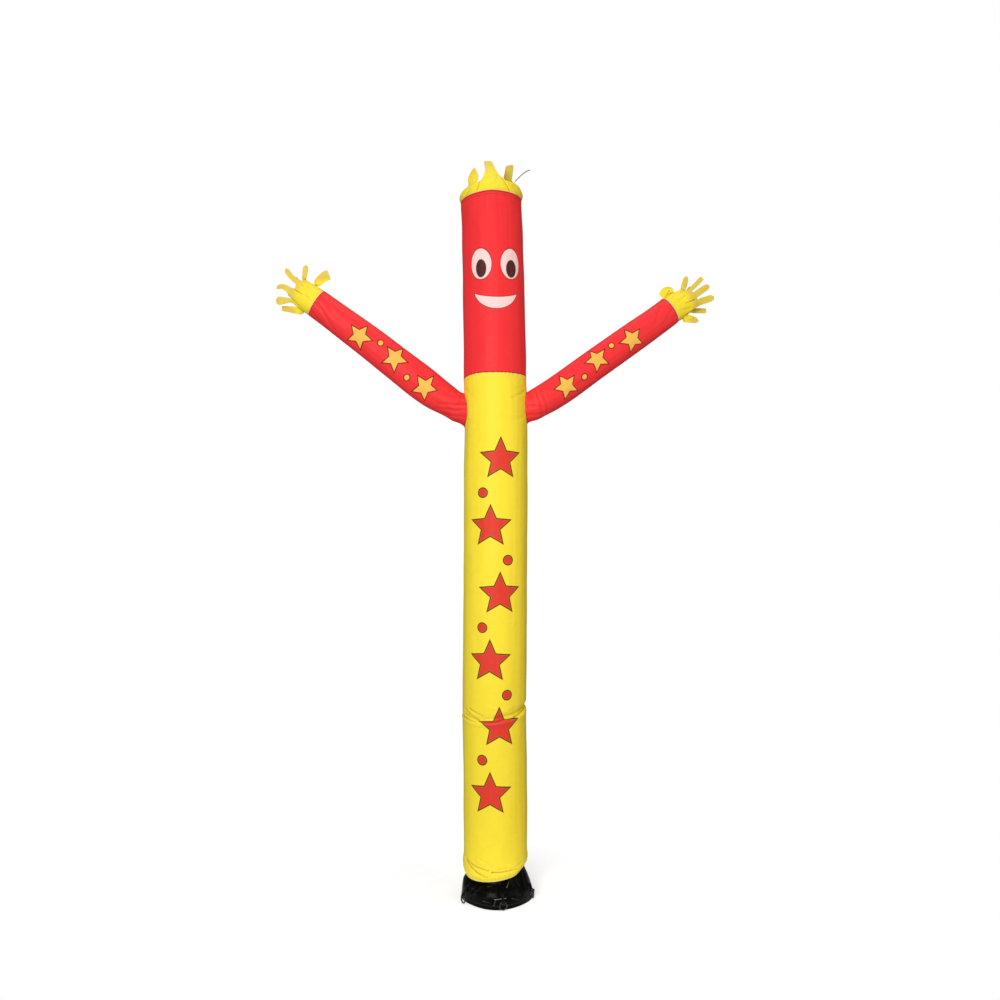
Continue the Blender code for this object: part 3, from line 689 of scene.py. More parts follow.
def topDrop(angle):
    across = cos(angle)
    return 0.0145 * max(0.0, -across) ** 1.2 + 0.0035 * max(0.0, across) ** 1.5


def neckPucker(angle, off):
    return 0.0007 * sin(38.0 * angle + 3.0 * sin(5.0 * angle)) * hill(off, 0.012)


def hemGather(angle, above):
    rise = sin(0.5 * pi * min(1.0, above / gather["rise"]))
    drawn = (bodySizes["radius"] + bodySizes["swell"] - bodySizes["hemRadius"]) * (1.0 - rise)
    out = gather["bulge"] - gather["leftBulge"] * cos(angle) + gather["ripple"] * sin(5.0 * angle)
    pucker = 0.0006 * sin(46.0 * angle + 2.0 * sin(7.0 * angle)) * hill(above - 0.012, 0.009)
    return out * hill(above - gather["height"], gather["spread"]) - drawn + pucker


def creaseHeight(angle):
    return buckle["height"] + buckle["frontDrop"] * sin(angle) + buckle["rightRise"] * cos(angle)


def buckleDepth(angle, z):
    crease = creaseHeight(angle)
    depth = buckle["depth"] + buckle["rightDepth"] * cos(angle)
    pinch = hill(z - crease - buckle["above"], buckle["spread"])
    swell = hill(z - crease + buckle["below"], buckle["spread"])
    wander = crease + 0.0015 * sin(9.0 * angle)
    sharp = buckle["creaseDepth"] * (0.75 + 0.25 * sin(4.0 * angle + 1.0))
    line = sharp * hill(z - wander, buckle["creaseWidth"])
    lip = buckle["lip"] * (1.0 - 0.6 * max(0.0, cos(angle)))
    lip *= hill(z - wander + buckle["lipBelow"], buckle["lipWidth"])
    return depth * (buckle["swell"] * swell - pinch) - line + lip


def foldLines(table, radius):
    # each fold as its start angle, two ends on the unrolled cloth, depth and width in metres
    lines = []
    for fold in named(foldColumns, table):
        span = radians(fold["toAngle"] - fold["fromAngle"]) * radius
        start = Vector((0.0, fold["fromHeight"] * mm))
        end = Vector((span, fold["toHeight"] * mm))
        lines.append((radians(fold["fromAngle"]), start, end, fold["depth"] * mm, fold["halfWidth"] * mm))
    return lines


def foldDepth(lines, angle, z, radius):
    total = 0.0
    for turn, start, end, depth, width in lines:
        if min(start.y, end.y) - 4.0 * width < z < max(start.y, end.y) + 4.0 * width:
            away = (angle - turn + pi) % (2.0 * pi) - pi
            share, off = nearLine(Vector((away * radius, z)), start, end)
            total -= depth * (1.0 - 0.45 * share) * hill(off, width)
    return total


def slack(angle, z, seed):
    # the slight unevenness of thin cloth held out by air
    broad = noise.noise(Vector((2.2 * cos(angle), 2.2 * sin(angle), 7.0 * z + seed)))
    long = noise.noise(Vector((7.0 * cos(angle), 7.0 * sin(angle), 2.6 * z - seed)))
    return 0.0016 * broad + 0.0007 * long


def bodyPlace(lines):
    def place(around, up):
        angle = spread(around)
        z = betweenRows(bodyRows, up * bodyRows[-1][0])
        above = z - bodySizes["hemHeight"]
        below = bodySizes["neck"] - z
        settle = 1.0 - ease(above / gather["settle"])
        lift = bodySizes["rightLift"] * ease((cos(angle) - 0.6) / 0.35)
        height = z + (hemHeight(angle) + lift - bodySizes["hemHeight"]) * settle
        height -= neckDrop(angle) * ease(1.0 - below / 0.12)
        pressed = foldDepth(lines, angle, height, bodySizes["radius"]) * ease(above / gather["foldStart"])
        radius = bodyRadius(z) + hemGather(angle, above) + buckleDepth(angle, z) + pressed
        radius += slack(angle, z, 0.0) * ease(above / 0.05) * ease(below / 0.05) + neckPucker(angle, below)
        taken = buckle["swallowed"] * ease((z - creaseHeight(angle) + 0.004) / 0.008)  # hidden in the crease
        spot = ((angle + 0.5 * pi) * bodySizes["radius"], z + taken)
        return roundPoint(angle, radius, height, tubeLean(z)), spot
    return place


def makeBody():
    bm = sewTube(bodySizes["sides"], bodyRows[-1][0], bodyPlace(foldLines(bodyFolds, bodySizes["radius"])))
    for side, height, halfHeight in armholes:
        inside = []
        for face in bm.faces:
            centre = face.calc_center_median()
            off = (centre.y / bodySizes["armholeHalfDepth"]) ** 2 + ((centre.z - height) / halfHeight) ** 2
            if centre.x * side > 0.05 and off < 1.0:
                inside.append(face)
        bmesh.ops.delete(bm, geom=inside, context="FACES")
    faceOut(bm)
    body = tubePiece("bodyCloth", bm, bodyLook(), "body_tube", bodySizes["wall"])


# Head: red tube with the printed face

headSizes = dict(top=2.888, topRadius=0.126, flatRadius=0.1275, sides=180, rows=130, topGather=0.0014)
faceColumns = ("across", "up", "width", "height", "slant", "outline", "colour")
facePrint = (
    (-52.2, 2592.8, 45.5, 62.0, 0.00, 2.6, "eyeWhite"), (75.0, 2595.0, 45.0, 61.5, 0.05, 2.6, "eyeWhite"),
    (-51.8, 2574.8, 22.8, 36.8, 0.00, 0.2, "pupil"), (76.6, 2575.2, 24.0, 36.2, 0.05, 0.2, "pupil"),
)

# stitched ends of the head: lower and upper height, and how strong the line is
seamLines = ((2.1530, 2.1568, 0.80), (2.8825, 2.8890, 0.55), (2.8725, 2.8745, 0.35))
mouth = dict(across=0.0097, lowerMiddle=2.5107, lowerRadius=0.0990, upperMiddle=2.7042,
             upperRadius=0.2467, outline=0.0024)


def headPlace(around, up):
    angle = spread(around)
    height = headSizes["top"] - bodySizes["neck"]
    z = bodySizes["neck"] + 0.0003 + (height - 0.0003) * up
    above = z - bodySizes["neck"]
    below = headSizes["top"] - z
    radius = bodySizes["radius"] + (headSizes["topRadius"] - bodySizes["radius"]) * ease(above / height)
    ends = ease(above / 0.05) * ease(below / 0.05)
    ripple = sin(21.0 * angle + 3.0 * sin(4.0 * angle)) * hill(below - 0.012, 0.014)
    radius += (slack(angle, z, 4.0) + headSizes["topGather"] * ripple) * ends + neckPucker(angle, above)
    drop = neckDrop(angle) * ease(1.0 - above / 0.12) + topDrop(angle) * ease(1.0 - below / 0.12)
    return roundPoint(angle, radius, z - drop, tubeLean(z)), ((angle + 0.5 * pi) * headSizes["flatRadius"], z)


def makeHead():
    bm = sewTube(headSizes["sides"], headSizes["rows"], headPlace)
    faceOut(bm)
    head = tubePiece("headCloth", bm, faceLook(), "head_tube", bodySizes["wall"])


# Sleeves

armColumns = ("x", "y", "z", "turn", "halfHeight", "halfDepth")
armTables = {
    "left": (
        (-130, 0, 2014, 0, 72.0, 60.0), (-150, -1, 2025, 16, 63.0, 60.0),
        (-180, -4, 2043, 29, 60.0, 61.0),
        (-245, -9, 2083, 35, 68.6, 60.0), (-311, -15, 2132, 37, 72.2, 57.0),
        (-409, -23, 2208, 37, 69.4, 57.5),
        (-507, -31, 2284, 37, 66.5, 58.0), (-605, -39, 2356, 36, 63.5, 58.5),
        (-669, -45, 2403, 35, 61.0, 58.5), (-730.5, -49.5, 2447.5, 34, 59.5, 58.0),
    ),
    "right": (
        (130, 0, 2024, 0, 66.0, 60.0), (150, 1, 2030, 14, 62.6, 61.0), (182, 3, 2048, 28, 62.0, 62.0),
        (229, 7, 2075, 32, 63.8, 61.0), (296, 12, 2120, 34, 64.4, 60.0), (397, 19, 2194, 35, 63.4, 59.0),
        (497, 27, 2265.5, 35, 63.0, 59.0), (599, 34, 2338.5, 35, 61.8, 59.0),
        (667, 39, 2387.5, 35, 59.6, 58.5), (735, 43.7, 2438, 34.5, 58.8, 58.0),
    ),
}
armSizes = dict(sides=96, rows=120, wall=0.0012, gap=0.0016, sewnIn=0.035, foldRadius=0.062, flatRadius=0.060,
                tilt=dict(left=-4.0, right=3.5), rootFlat=dict(left=0.02, right=0.22))
sideOf = dict(left=-1.0, right=1.0)

# folds across a sleeve: turn round it (90 is its front) and way along it in mm, from the shoulder
armFolds = {
    "left": (
        (70, 4, 122, 105, 3.4, 6), (96, 4, 140, 98, 3.0, 6), (40, 6, 84, 120, 2.4, 9),
        (118, 8, 160, 70, 2.6, 6),
        (90, 728, 138, 612, 3.4, 7), (60, 735, 96, 640, 2.2, 9), (130, 735, 160, 660, 2.4, 6),
        (30, 420, 80, 300, -1.6, 16), (110, 560, 150, 420, 1.8, 14),
    ),
    "right": (
        (62, 58, 168, 42, 3.0, 6), (48, 84, 150, 66, 2.4, 7), (80, 4, 112, 52, 2.6, 6),
        (118, 5, 150, 60, 2.4, 6),
        (51, 690, 96, 640, 3.0, 7), (84, 735, 128, 650, 2.4, 7), (40, 740, 66, 690, 2.0, 6),
        (36, 330, 90, 430, 1.8, 14), (100, 200, 150, 330, 1.6, 14),
    ),
}


def armAxes(turn, tilt, side):
    turn, tilt = radians(turn), radians(tilt)
    along = Vector((side * cos(turn) * cos(tilt), sin(tilt), sin(turn) * cos(tilt)))
    up = Vector((-side * sin(turn), 0.0, cos(turn)))
    return along, up, along.cross(up) * side


def armLength(table, share):
    # way along the sleeve's middle line to a share of its stations
    place = share * (len(table) - 1)
    total = 0.0
    for i, (a, b) in enumerate(zip(table, table[1:])):
        total += (Vector(b[:3]) - Vector(a[:3])).length * mm * min(1.0, max(0.0, place - i))
    return total


def armPlace(name):
    table, side = armTables[name], sideOf[name]
    length = armLength(table, 1.0)
    lines = foldLines(armFolds[name], armSizes["foldRadius"])

    def place(around, out):
        x, y, z, turn, halfHeight, halfDepth = alongTable(table, out)
        tilt = armSizes["tilt"][name] * ease(out * (len(table) - 1) / 2.0)
        _, up, front = armAxes(turn, tilt, side)
        angle = 2.0 * pi * (around - 0.5) * side + 0.5 * pi
        way = armLength(table, out)
        soft = ease(way / 0.02) * ease((length - way) / 0.012)
        pressed = foldDepth(lines, angle, way, armSizes["foldRadius"]) + slack(angle, 0.5 * way, 9.0 + side)
        pucker = 0.0006 * sin(19.0 * angle + 2.0 * sin(3.0 * angle))
        pucker *= hill(way - 0.006, 0.012) * ease(way / 0.004) + hill(length - way - 0.006, 0.010)
        pressed = pressed * soft + pucker
        depth = halfDepth * (1.0 - armSizes["rootFlat"][name] * (1.0 - ease(way / 0.070)))
        point = Vector((x, y, z)) * mm
        point += up * ((halfHeight * mm + pressed) * cos(angle))
        point += front * ((depth * mm + pressed) * sin(angle))
        clear = bodyRadius(point.z) + armSizes["gap"]
        middle = tubeLean(point.z)
        wanted = sqrt(max(clear ** 2 - point.y ** 2, 0.0))
        off = max(0.0, abs(point.x - middle) - wanted)
        # the sewn end follows the round of the body
        point.x = middle + side * (wanted + off * ease(way / armSizes["sewnIn"]))
        return point, (way, (0.5 - around) * 2.0 * pi * armSizes["flatRadius"] * side)
    return place


def makeArm(name):
    table = armTables[name]
    bm = sewTube(armSizes["sides"], armSizes["rows"], armPlace(name))
    stations = [Vector(row[:3]) * mm for row in table]
    faceOut(bm, lambda point: min(stations, key=lambda spot: abs(spot.x - point.x)))
    look = armLook(name, armLength(table, 1.0))
    arm = tubePiece(name + "SleeveCloth", bm, look, "arm_" + name, armSizes["wall"])


# Sheets grown row by row, for the strips

def placedRow(row, points):
    for vert, point in zip(row, points):
        vert.co = point
    return row


def firstRow(bm, points):
    made = bmesh.ops.create_circle(bm, cap_ends=False, segments=len(points), radius=1.0)["verts"]
    return placedRow(made, points)


def nextRow(bm, row, points, closed=True):
    count = len(row) if closed else len(row) - 1
    edges = [bm.edges.get((row[i], row[(i + 1) % len(row)])) for i in range(count)]
    made = bmesh.ops.extrude_edge_only(bm, edges=edges)["geom"]
    fresh = {item for item in made if isinstance(item, bmesh.types.BMVert)}
    lifted = [next(e.other_vert(v) for e in v.link_edges if e.other_vert(v) in fresh) for v in row]
    return placedRow(lifted, points)


def stripWidth(share, root, strip):
    # wide at the root, then from waist to tip, with a round or a cut end
    waist, tip = strip["waist"] * mm, strip["tip"] * mm
    fillet = (root - waist) * max(0.0, 1.0 - share / 0.35) ** 2
    if strip["end"] == "round":
        end = sqrt(max(0.08, 1.0 - max(0.0, (share - 0.80) / 0.20) ** 2))
    else:
        end = 1.0 - 0.12 * max(0.0, (share - 0.92) / 0.08)
    return (fillet + waist + (tip - waist) * ease(share)) * end


def layFlat(bm):
    # a flat-cloth map for sheets that bend every way: straight off the points, in metres
    flatMap = bm.loops.layers.uv.new("cloth")
    fillMap(bm, flatMap, lambda vert: (vert.co.x + 0.7 * vert.co.y, vert.co.z - 0.4 * vert.co.y))


# creases pressed into a cut cloth, seen from its front: both ends in mm, depth and half width
creaseColumns = ("fromAcross", "fromUp", "toAcross", "toUp", "depth", "halfWidth")


def creaseLines(table):
    return [(Vector((row["fromAcross"], row["fromUp"])) * mm, Vector((row["toAcross"], row["toUp"])) * mm,
             row["depth"] * mm, row["halfWidth"] * mm) for row in named(creaseColumns, table)]


def creaseDepth(lines, spot, fading):
    total = 0.0
    for start, end, depth, width in lines:
        share, off = nearLine(spot, start, end)
        total += depth * (1.0 - fading * share) * hill(off, width)
    return total


# Hands: the cuff's end cut into eight strips

handSizes = dict(cuffRows=(0.0, 6.0, 14.0, 24.0), palmHalfHeight=60.0, palmHalfDepth=46.0, dropReach=100.0,
                 notch=3.0, rows=9, wall=0.0010, cup=0.10, seamGap=0.0003, turnBy=0.20, fuller=1.08,
                 shadeFrom=0.062, sideFrom=0.058, sideShare=1.6, creaseFade=0.6,
                 longer=dict(left=8.0, right=9.5), drop=dict(left=4.0, right=7.0))
stripColumns = ("at", "root", "reach", "splay", "bend", "late", "lean", "length", "waist", "tip", "twist",
                "end")
handTables = {
    "left": (
        (0, 15, 36, 86, 38, 1.0, 8, 74, 30, 39, 0, "square"),
        (27, 11, 82, 60, 8, 1.0, 5, 59, 18, 20, 0, "round"),
        (60, 11, 98, -3, 31, 1.0, 0, 68, 20, 20, 0, "round"),
        (110, 18, 88, 6, -88, 3.0, 4, 72, 24, 17, 0, "round"),
        (141, 9, 75, -30, -12, 1.0, 0, 64, 16, 34, 0, "round"),
        (190, 21, 17, -23, -6, 1.0, -4, 94, 30, 20, 10, "square"),
        (245, 11, 78, 4, 0, 1.0, -4, 46, 20, 20, 0, "round"),
        (303, 11, 88, -3, 30, 1.0, -4, 52, 20, 20, 0, "round"),
    ),
    "right": (
        (8, 13, 40, 92, 150, 1.0, 10, 64, 37, 36, 0, "round"),
        (37, 11, 77, 37, 6, 1.0, 6, 57, 23, 20, 0, "round"),
        (62, 9, 100, 9, 4, 1.0, 0, 70, 17, 19, 0, "square"),
        (91, 12, 103, 0, 0, 1.0, 0, 70, 26, 23, 0, "round"),
        (127, 13, 101, -13, -4, 1.0, 0, 67, 27, 25, 0, "round"),
        (172, 24, 16, -37, -16, 1.0, 0, 68, 34, 23, 0, "round"),
        (232, 10, 70, -31, -4, 1.0, -5, 76, 20, 20, 0, "square"),
        (300, 11, 88, 9, 4, 1.0, -4, 56, 20, 20, 0, "round"),
    ),
}

# across is the way out from the wrist, up is the height over the hand's middle line
handCreases = {
    "left": ((102, -8, 60, -7, 7.0, 2.2), (84, -44, 44, -52, 6.0, 2.4), (60, 30, 20, 22, 2.4, 7.0),
             (44, -2, 8, -14, 2.2, 7.0), (84, 26, 46, 14, 2.2, 5.0)),
    "right": ((98, -22, 58, -16, 7.0, 2.2), (44, 70, 8, 52, 5.0, 2.4), (88, 38, 52, 30, 2.6, 5.0),
              (70, 12, 26, 6, 2.2, 7.0), (62, -40, 24, -30, 3.0, 6.0), (52, 52, 18, 30, 3.2, 6.0)),
}


def growStrip(bm, rootRow, strip, axes):
    along, up, front = axes
    left, right = rootRow[0].co.copy(), rootRow[-1].co.copy()
    rootCross = (right - left).normalized()
    rootWidth = (right - left).length
    facing = -1.0 if strip["at"] < 200.0 else 1.0
    lean, twist = radians(strip["lean"]), radians(strip["twist"])
    row, place = rootRow, 0.5 * (left + right)
    rows = handSizes["rows"]
    for i in range(1, rows + 1):
        share = i / rows
        splay = radians(strip["splay"] + strip["bend"] * share ** strip["late"])
        heading = along * (cos(splay) * cos(lean)) + up * (sin(splay) * cos(lean)) + front * sin(lean)
        place = place + heading * (strip["length"] * mm / rows)
        flat = (up * cos(splay) - along * sin(splay)) * facing
        flat = flat * cos(twist) + flat.cross(heading) * sin(twist)
        cross = rootCross.lerp(flat, ease(share / handSizes["turnBy"])).normalized()
        half = 0.5 * stripWidth(share, rootWidth, strip) * handSizes["fuller"]
        bow = half * handSizes["cup"] * (1.0 + sin(5.0 * share + strip["at"]))
        cup = cross.cross(heading).normalized() * bow
        row = nextRow(bm, row, [place - cross * half, place + cup, place + cross * half], closed=False)


def cuffRing(name, strips):
    # turn and reach of each point of the cuff's cut edge: three for a strip and one for the gap after it
    ring = []
    for i, strip in enumerate(strips):
        after = strips[(i + 1) % len(strips)]
        nextAt = after["at"] + (360.0 if i + 1 == len(strips) else 0.0)
        for at in (strip["at"] - strip["root"], strip["at"], strip["at"] + strip["root"]):
            ring.append((at, strip["reach"]))
        gapAt = 0.5 * (strip["at"] + strip["root"] + nextAt - after["root"])
        ring.append((gapAt, 0.5 * (strip["reach"] + after["reach"]) - handSizes["notch"]))
    return ring


def makeHand(name):
    wrist = dict(zip(armColumns, armTables[name][-1]))
    along, up, front = axes = armAxes(wrist["turn"], armSizes["tilt"][name], sideOf[name])
    middle = Vector((wrist["x"], wrist["y"], wrist["z"])) * mm
    strips = named(stripColumns, handTables[name])
    for strip in strips:
        strip["reach"] += handSizes["longer"][name]
    ring = cuffRing(name, strips)

    def cuffPoint(at, reach, share):
        turn = radians(at)
        height = wrist["halfHeight"] + (handSizes["palmHalfHeight"] - wrist["halfHeight"]) * share
        depth = wrist["halfDepth"] + (handSizes["palmHalfDepth"] - wrist["halfDepth"]) * share
        drop = handSizes["drop"][name] * ease(reach / handSizes["dropReach"])
        return (middle + along * (handSizes["seamGap"] + reach * mm)
                + up * ((height * cos(turn) - drop) * mm) + front * (depth * mm * sin(turn)))

    bm = bmesh.new()
    row = None
    for reach in handSizes["cuffRows"]:
        points = [cuffPoint(at, reach, 0.0) for at, _ in ring]
        row = nextRow(bm, row, points) if row else firstRow(bm, points)
    start = handSizes["cuffRows"][-1]
    for share in (0.33, 0.66, 1.0):
        row = nextRow(bm, row, [cuffPoint(at, start + (reach - start) * share, share) for at, reach in ring])
    for i, strip in enumerate(strips):
        growStrip(bm, row[4 * i:4 * i + 3], strip, axes)
    faceOut(bm, lambda point: middle + along * min(0.05, max(0.0, (point - middle).dot(along))))
    lines = creaseLines(handCreases[name])

    def finish(bm):
        for vert in bm.verts:
            away = vert.co - middle
            if away.dot(front) >= 0.0:
                spot = Vector((away.dot(along), away.dot(up)))
                vert.co -= front * creaseDepth(lines, spot, handSizes["creaseFade"])
                vert.co += front * (0.0012 * noise.noise(vert.co * 38.0))
        layFlat(bm)
        markHollows(bm, 1)
        # the way from the seam, which sets the painted shade of the free strips
        fromSeam = bm.verts.layers.float.new("fromSeam")
        for vert in bm.verts:
            away = vert.co - middle
            beside = max(0.0, abs(away.dot(up)) - handSizes["sideFrom"])
            vert[fromSeam] = max(0.0, away.dot(along)) + handSizes["sideShare"] * beside

    title = name + "HandCloth"
    look = stripLook(title, handSizes["shadeFrom"])
    hand = stripPiece(title, bm, look, "hand_" + name, handSizes["wall"], finish)


# Hair: a band on the head, cut into eight locks

hairSizes = dict(sectors=36, rows=9, wall=0.0010, sideSwell=2.5, swellHeight=18.0, swellSpread=12.0,
                 leftDrop=0.20, leftDrawIn=7.0, leanStart=0.15, shadeFrom=0.035, band=0.030, shadeGrowth=0.4)
bandRows = ((0.3, 125.6), (4, 127.2), (8, 128.5), (13, 130.0), (18, 130.5), (25, 129.6), (32, 128.0),
            (44, 123.0))
lockColumns = ("first", "last", "height", "inward", "sway", "waist", "tip", "end")
hairLocks = (
    (25, 30, 96, 64, -18, 48, 31, "square"), (31, 38, 22, 30, 0, 90, 56, "round"),
    (41, 44, 130, 20, -40, 44, 36, "round"), (44, 46, 40, 62, 6, 34, 26, "round"),
    (47, 50, 36, 66, -8, 34, 26, "round"), (51, 54, 44, 58, 4, 34, 26, "round"),
    (55, 57, 14, 26, 0, 40, 26, "round"), (58, 60, 74, 20, -7, 70, 5, "round"),
)

# across is the place to the right of the figure's middle, up is the height over the ground
hairCreases = ((-59, 2936, -72, 2892, 4.0, 3.0), (29, 2944, 60, 2892, 4.0, 3.0),
               (76, 2917, 98, 2884, 3.0, 3.0),
               (-103, 2905, -127, 2862, 3.0, 3.0), (10, 2950, -4, 2915, 1.6, 5.0))


def hairPoint(sector, height, radius):
    z = headSizes["top"] + height * mm
    return roundPoint(2.0 * pi * sector / hairSizes["sectors"], radius * mm, z, tubeLean(z))


def bandPoint(sector, height, radius):
    angle = 2.0 * pi * sector / hairSizes["sectors"]
    across = cos(angle)
    left = max(0.0, -across)
    share = height / bandRows[-1][0]
    swell = hairSizes["sideSwell"] * hill(height - hairSizes["swellHeight"], hairSizes["swellSpread"])
    radius += swell * abs(across) - hairSizes["leftDrawIn"] * left * share ** 3
    radius += 1.1 * sin(2.5 * sector + 2.0 * sin(sector)) * share
    drop = topDrop(angle) / mm * (1.0 - 0.7 * ease(share))
    return hairPoint(sector, height * (1.0 - hairSizes["leftDrop"] * left * share) - drop, radius)


def growLock(bm, rootRow, lock):
    bandHeight, bandRadius = bandRows[-1]
    sector = 0.5 * (lock["first"] + lock["last"])
    angle = 2.0 * pi * sector / hairSizes["sectors"]
    inward = roundPoint(angle, -1.0, 0.0)
    sideways = roundPoint(angle + 0.5 * pi, 1.0, 0.0)
    rootWidth = (rootRow[-1].co - rootRow[0].co).length
    base = bandPoint(sector, bandHeight, bandRadius)
    row = rootRow
    rows = hairSizes["rows"]
    for i in range(1, rows + 1):
        share = i / rows
        lean = ease(hairSizes["leanStart"] + (1.0 - hairSizes["leanStart"]) * share)
        middle = base + inward * (lock["inward"] * mm * lean)
        middle += sideways * (lock["sway"] * mm * (1.0 - (1.0 - share) ** 2))
        middle += Vector((0.0, 0.0, lock["height"] * mm * sin(0.5 * pi * share)))
        width = stripWidth(share, rootWidth, lock)
        bow = width ** 2 / (8.0 * bandRadius * mm)
        points = []
        for j in range(len(rootRow)):
            across = 2.0 * j / (len(rootRow) - 1) - 1.0
            wave = 0.0016 * sin(6.0 * across + 4.0 * share + sector) * share
            points.append(middle + sideways * (0.5 * width * across) + inward * (bow * across ** 2 + wave))
        row = nextRow(bm, row, points, closed=False)


def makeHair():
    bm = bmesh.new()
    fromSeam = bm.verts.layers.float.new("fromSeam")
    sectors = hairSizes["sectors"]
    row = None
    for height, radius in bandRows:
        points = [bandPoint(i, height, radius) for i in range(sectors)]
        row = nextRow(bm, row, points) if row else firstRow(bm, points)
        for vert in row:
            vert[fromSeam] = height * mm
    for lock in named(lockColumns, hairLocks):
        growLock(bm, [row[i % sectors] for i in range(lock["first"], lock["last"] + 1)], lock)
    faceOut(bm, lambda point: Vector((tubeLean(2.9), 0.0, 2.9)))
    # past the band, the way out along each lock sets its painted shade
    for vert in bm.verts:
        above = vert.co.z - headSizes["top"] - hairSizes["band"]
        if above > 0.0:
            vert[fromSeam] = max(vert[fromSeam], hairSizes["band"] + hairSizes["shadeGrowth"] * above)
    layFlat(bm)
    lines = creaseLines(hairCreases)

    def finish(bm):
        for vert in bm.verts:
            facing = ease((0.02 - vert.co.y) / 0.04)
            vert.co.y += facing * creaseDepth(lines, Vector((vert.co.x, vert.co.z)), 0.0)
        markHollows(bm, 1)

    look = stripLook("hairCloth", hairSizes["shadeFrom"])
    hair = stripPiece("hairCloth", bm, look, "hair", hairSizes["wall"], finish)


# Collar: the black coated skirt that ties over a blower

collarRows = ((0.0, 146.8), (3.0, 146.8), (17.5, 146.8), (20.0, 145.6), (30, 145.4), (48, 143.5),
              (66, 139.0), (84, 130.0), (97, 122.5), (106, 118.7), (112, 117.0), (126, 115.5))
collarSizes = dict(sides=260, rows=84, wall=0.0018, stitchRow=0.0165, shift=(0.008, -0.010), shiftFrom=0.020,
                   shiftTop=0.100, sag=0.0012, drawnIn=0.009, foldRadius=0.140, flatRadius=0.146)
collarFolds = (
    (-93, 43, -75, 45, -4.0, 3.0), (-91, 42, -95, 18, -3.2, 2.6), (-70, 82, -62, 104, -3.0, 2.8),
    (-104, 92, -96, 92, -2.0, 4.0), (-118, 95, -134, 50, 2.4, 7), (-84, 100, -86, 62, 2.0, 7),
    (-52, 104, -44, 56, 2.6, 7), (-20, 108, -26, 60, 2.2, 8), (-150, 90, -160, 44, 2.2, 8),
    (60, 110, 52, 50, 2.4, 9),
    (100, 108, 110, 52, 2.4, 9), (150, 96, 142, 50, 2.4, 9), (15, 112, 22, 60, 2.0, 8),
    (-64, 40, -50, 26, -1.4, 4), (-112, 32, -100, 28, -1.2, 4), (-84, 26, -76, 20, -1.8, 3),
)


def collarSag(angle, z):
    belt = ease((z - 0.020) / 0.02) * (1.0 - ease((z - 0.080) / 0.02))
    return collarSizes["sag"] * sin(3.0 * angle + 0.6) * belt


def collarShift(z):
    # the foot stands a little aside from the tube over it
    upper = ease((z - collarSizes["shiftFrom"]) / (collarSizes["shiftTop"] - collarSizes["shiftFrom"]))
    return Vector((*collarSizes["shift"], 0.0)).lerp(Vector((tubeLean(z), 0.0, 0.0)), upper)


def collarPlace(lines):
    def place(around, up):
        angle = spread(around)
        z = collarRows[-1][0] * mm * up
        radius = sum(betweenRows(collarRows, z / mm + step) for step in (-5, -3, -1, 1, 3, 5)) / 6.0 * mm
        pressed = foldDepth(lines, angle, z, collarSizes["foldRadius"])
        radius += pressed * ease((z - 0.004) / 0.012) * ease((0.112 - z) / 0.02) + collarSag(angle, z)
        corner = sin(2.0 * angle) ** 2 * ease(-3.0 * sin(angle))
        radius -= collarSizes["drawnIn"] * corner * (1.0 - ease((z - 0.006) / 0.050))
        loose = ease((z - 0.020) / 0.02) * ease((0.100 - z) / 0.03)
        radius += 0.0022 * noise.noise(Vector((5.0 * cos(angle), 5.0 * sin(angle), 26.0 * z))) * loose
        radius += 0.0004 * sin(60.0 * angle) * hill(z - collarSizes["stitchRow"], 0.003)
        follow = ease((z - 0.060) / (bodySizes["hemHeight"] - 0.060))
        height = z + (hemHeight(angle) - bodySizes["hemHeight"]) * follow
        point = roundPoint(angle, radius, height) + collarShift(z)
        return point, ((angle + 0.5 * pi) * collarSizes["flatRadius"], z)
    return place


def makeCollar():
    place = collarPlace(foldLines(collarFolds, collarSizes["foldRadius"]))
    bm = sewTube(collarSizes["sides"], collarSizes["rows"], place)
    faceOut(bm)
    collar = tubePiece("collarCloth", bm, collarLook(), "collar", collarSizes["wall"])


# Tie-down rings and their tabs

ringSizes = dict(angles=(60, 140, 210, 280, 350), radius=15.0, wire=2.75, height=18.3, bow=0.6,
                 wireSides=14, steps=56, standOff={3: 7.0})
tabSizes = dict(width=12.0, thickness=1.2, layOff=1.2, top=62.0, eye=5.1, eyeTop=8.0, layerGap=0.4,
                eyeTurn=235, eyeSteps=21)


def collarSpot(angle, z):
    radius = betweenRows(collarRows, z / mm) * mm + collarSag(angle, z)
    return roundPoint(angle, radius, z) + collarShift(z)


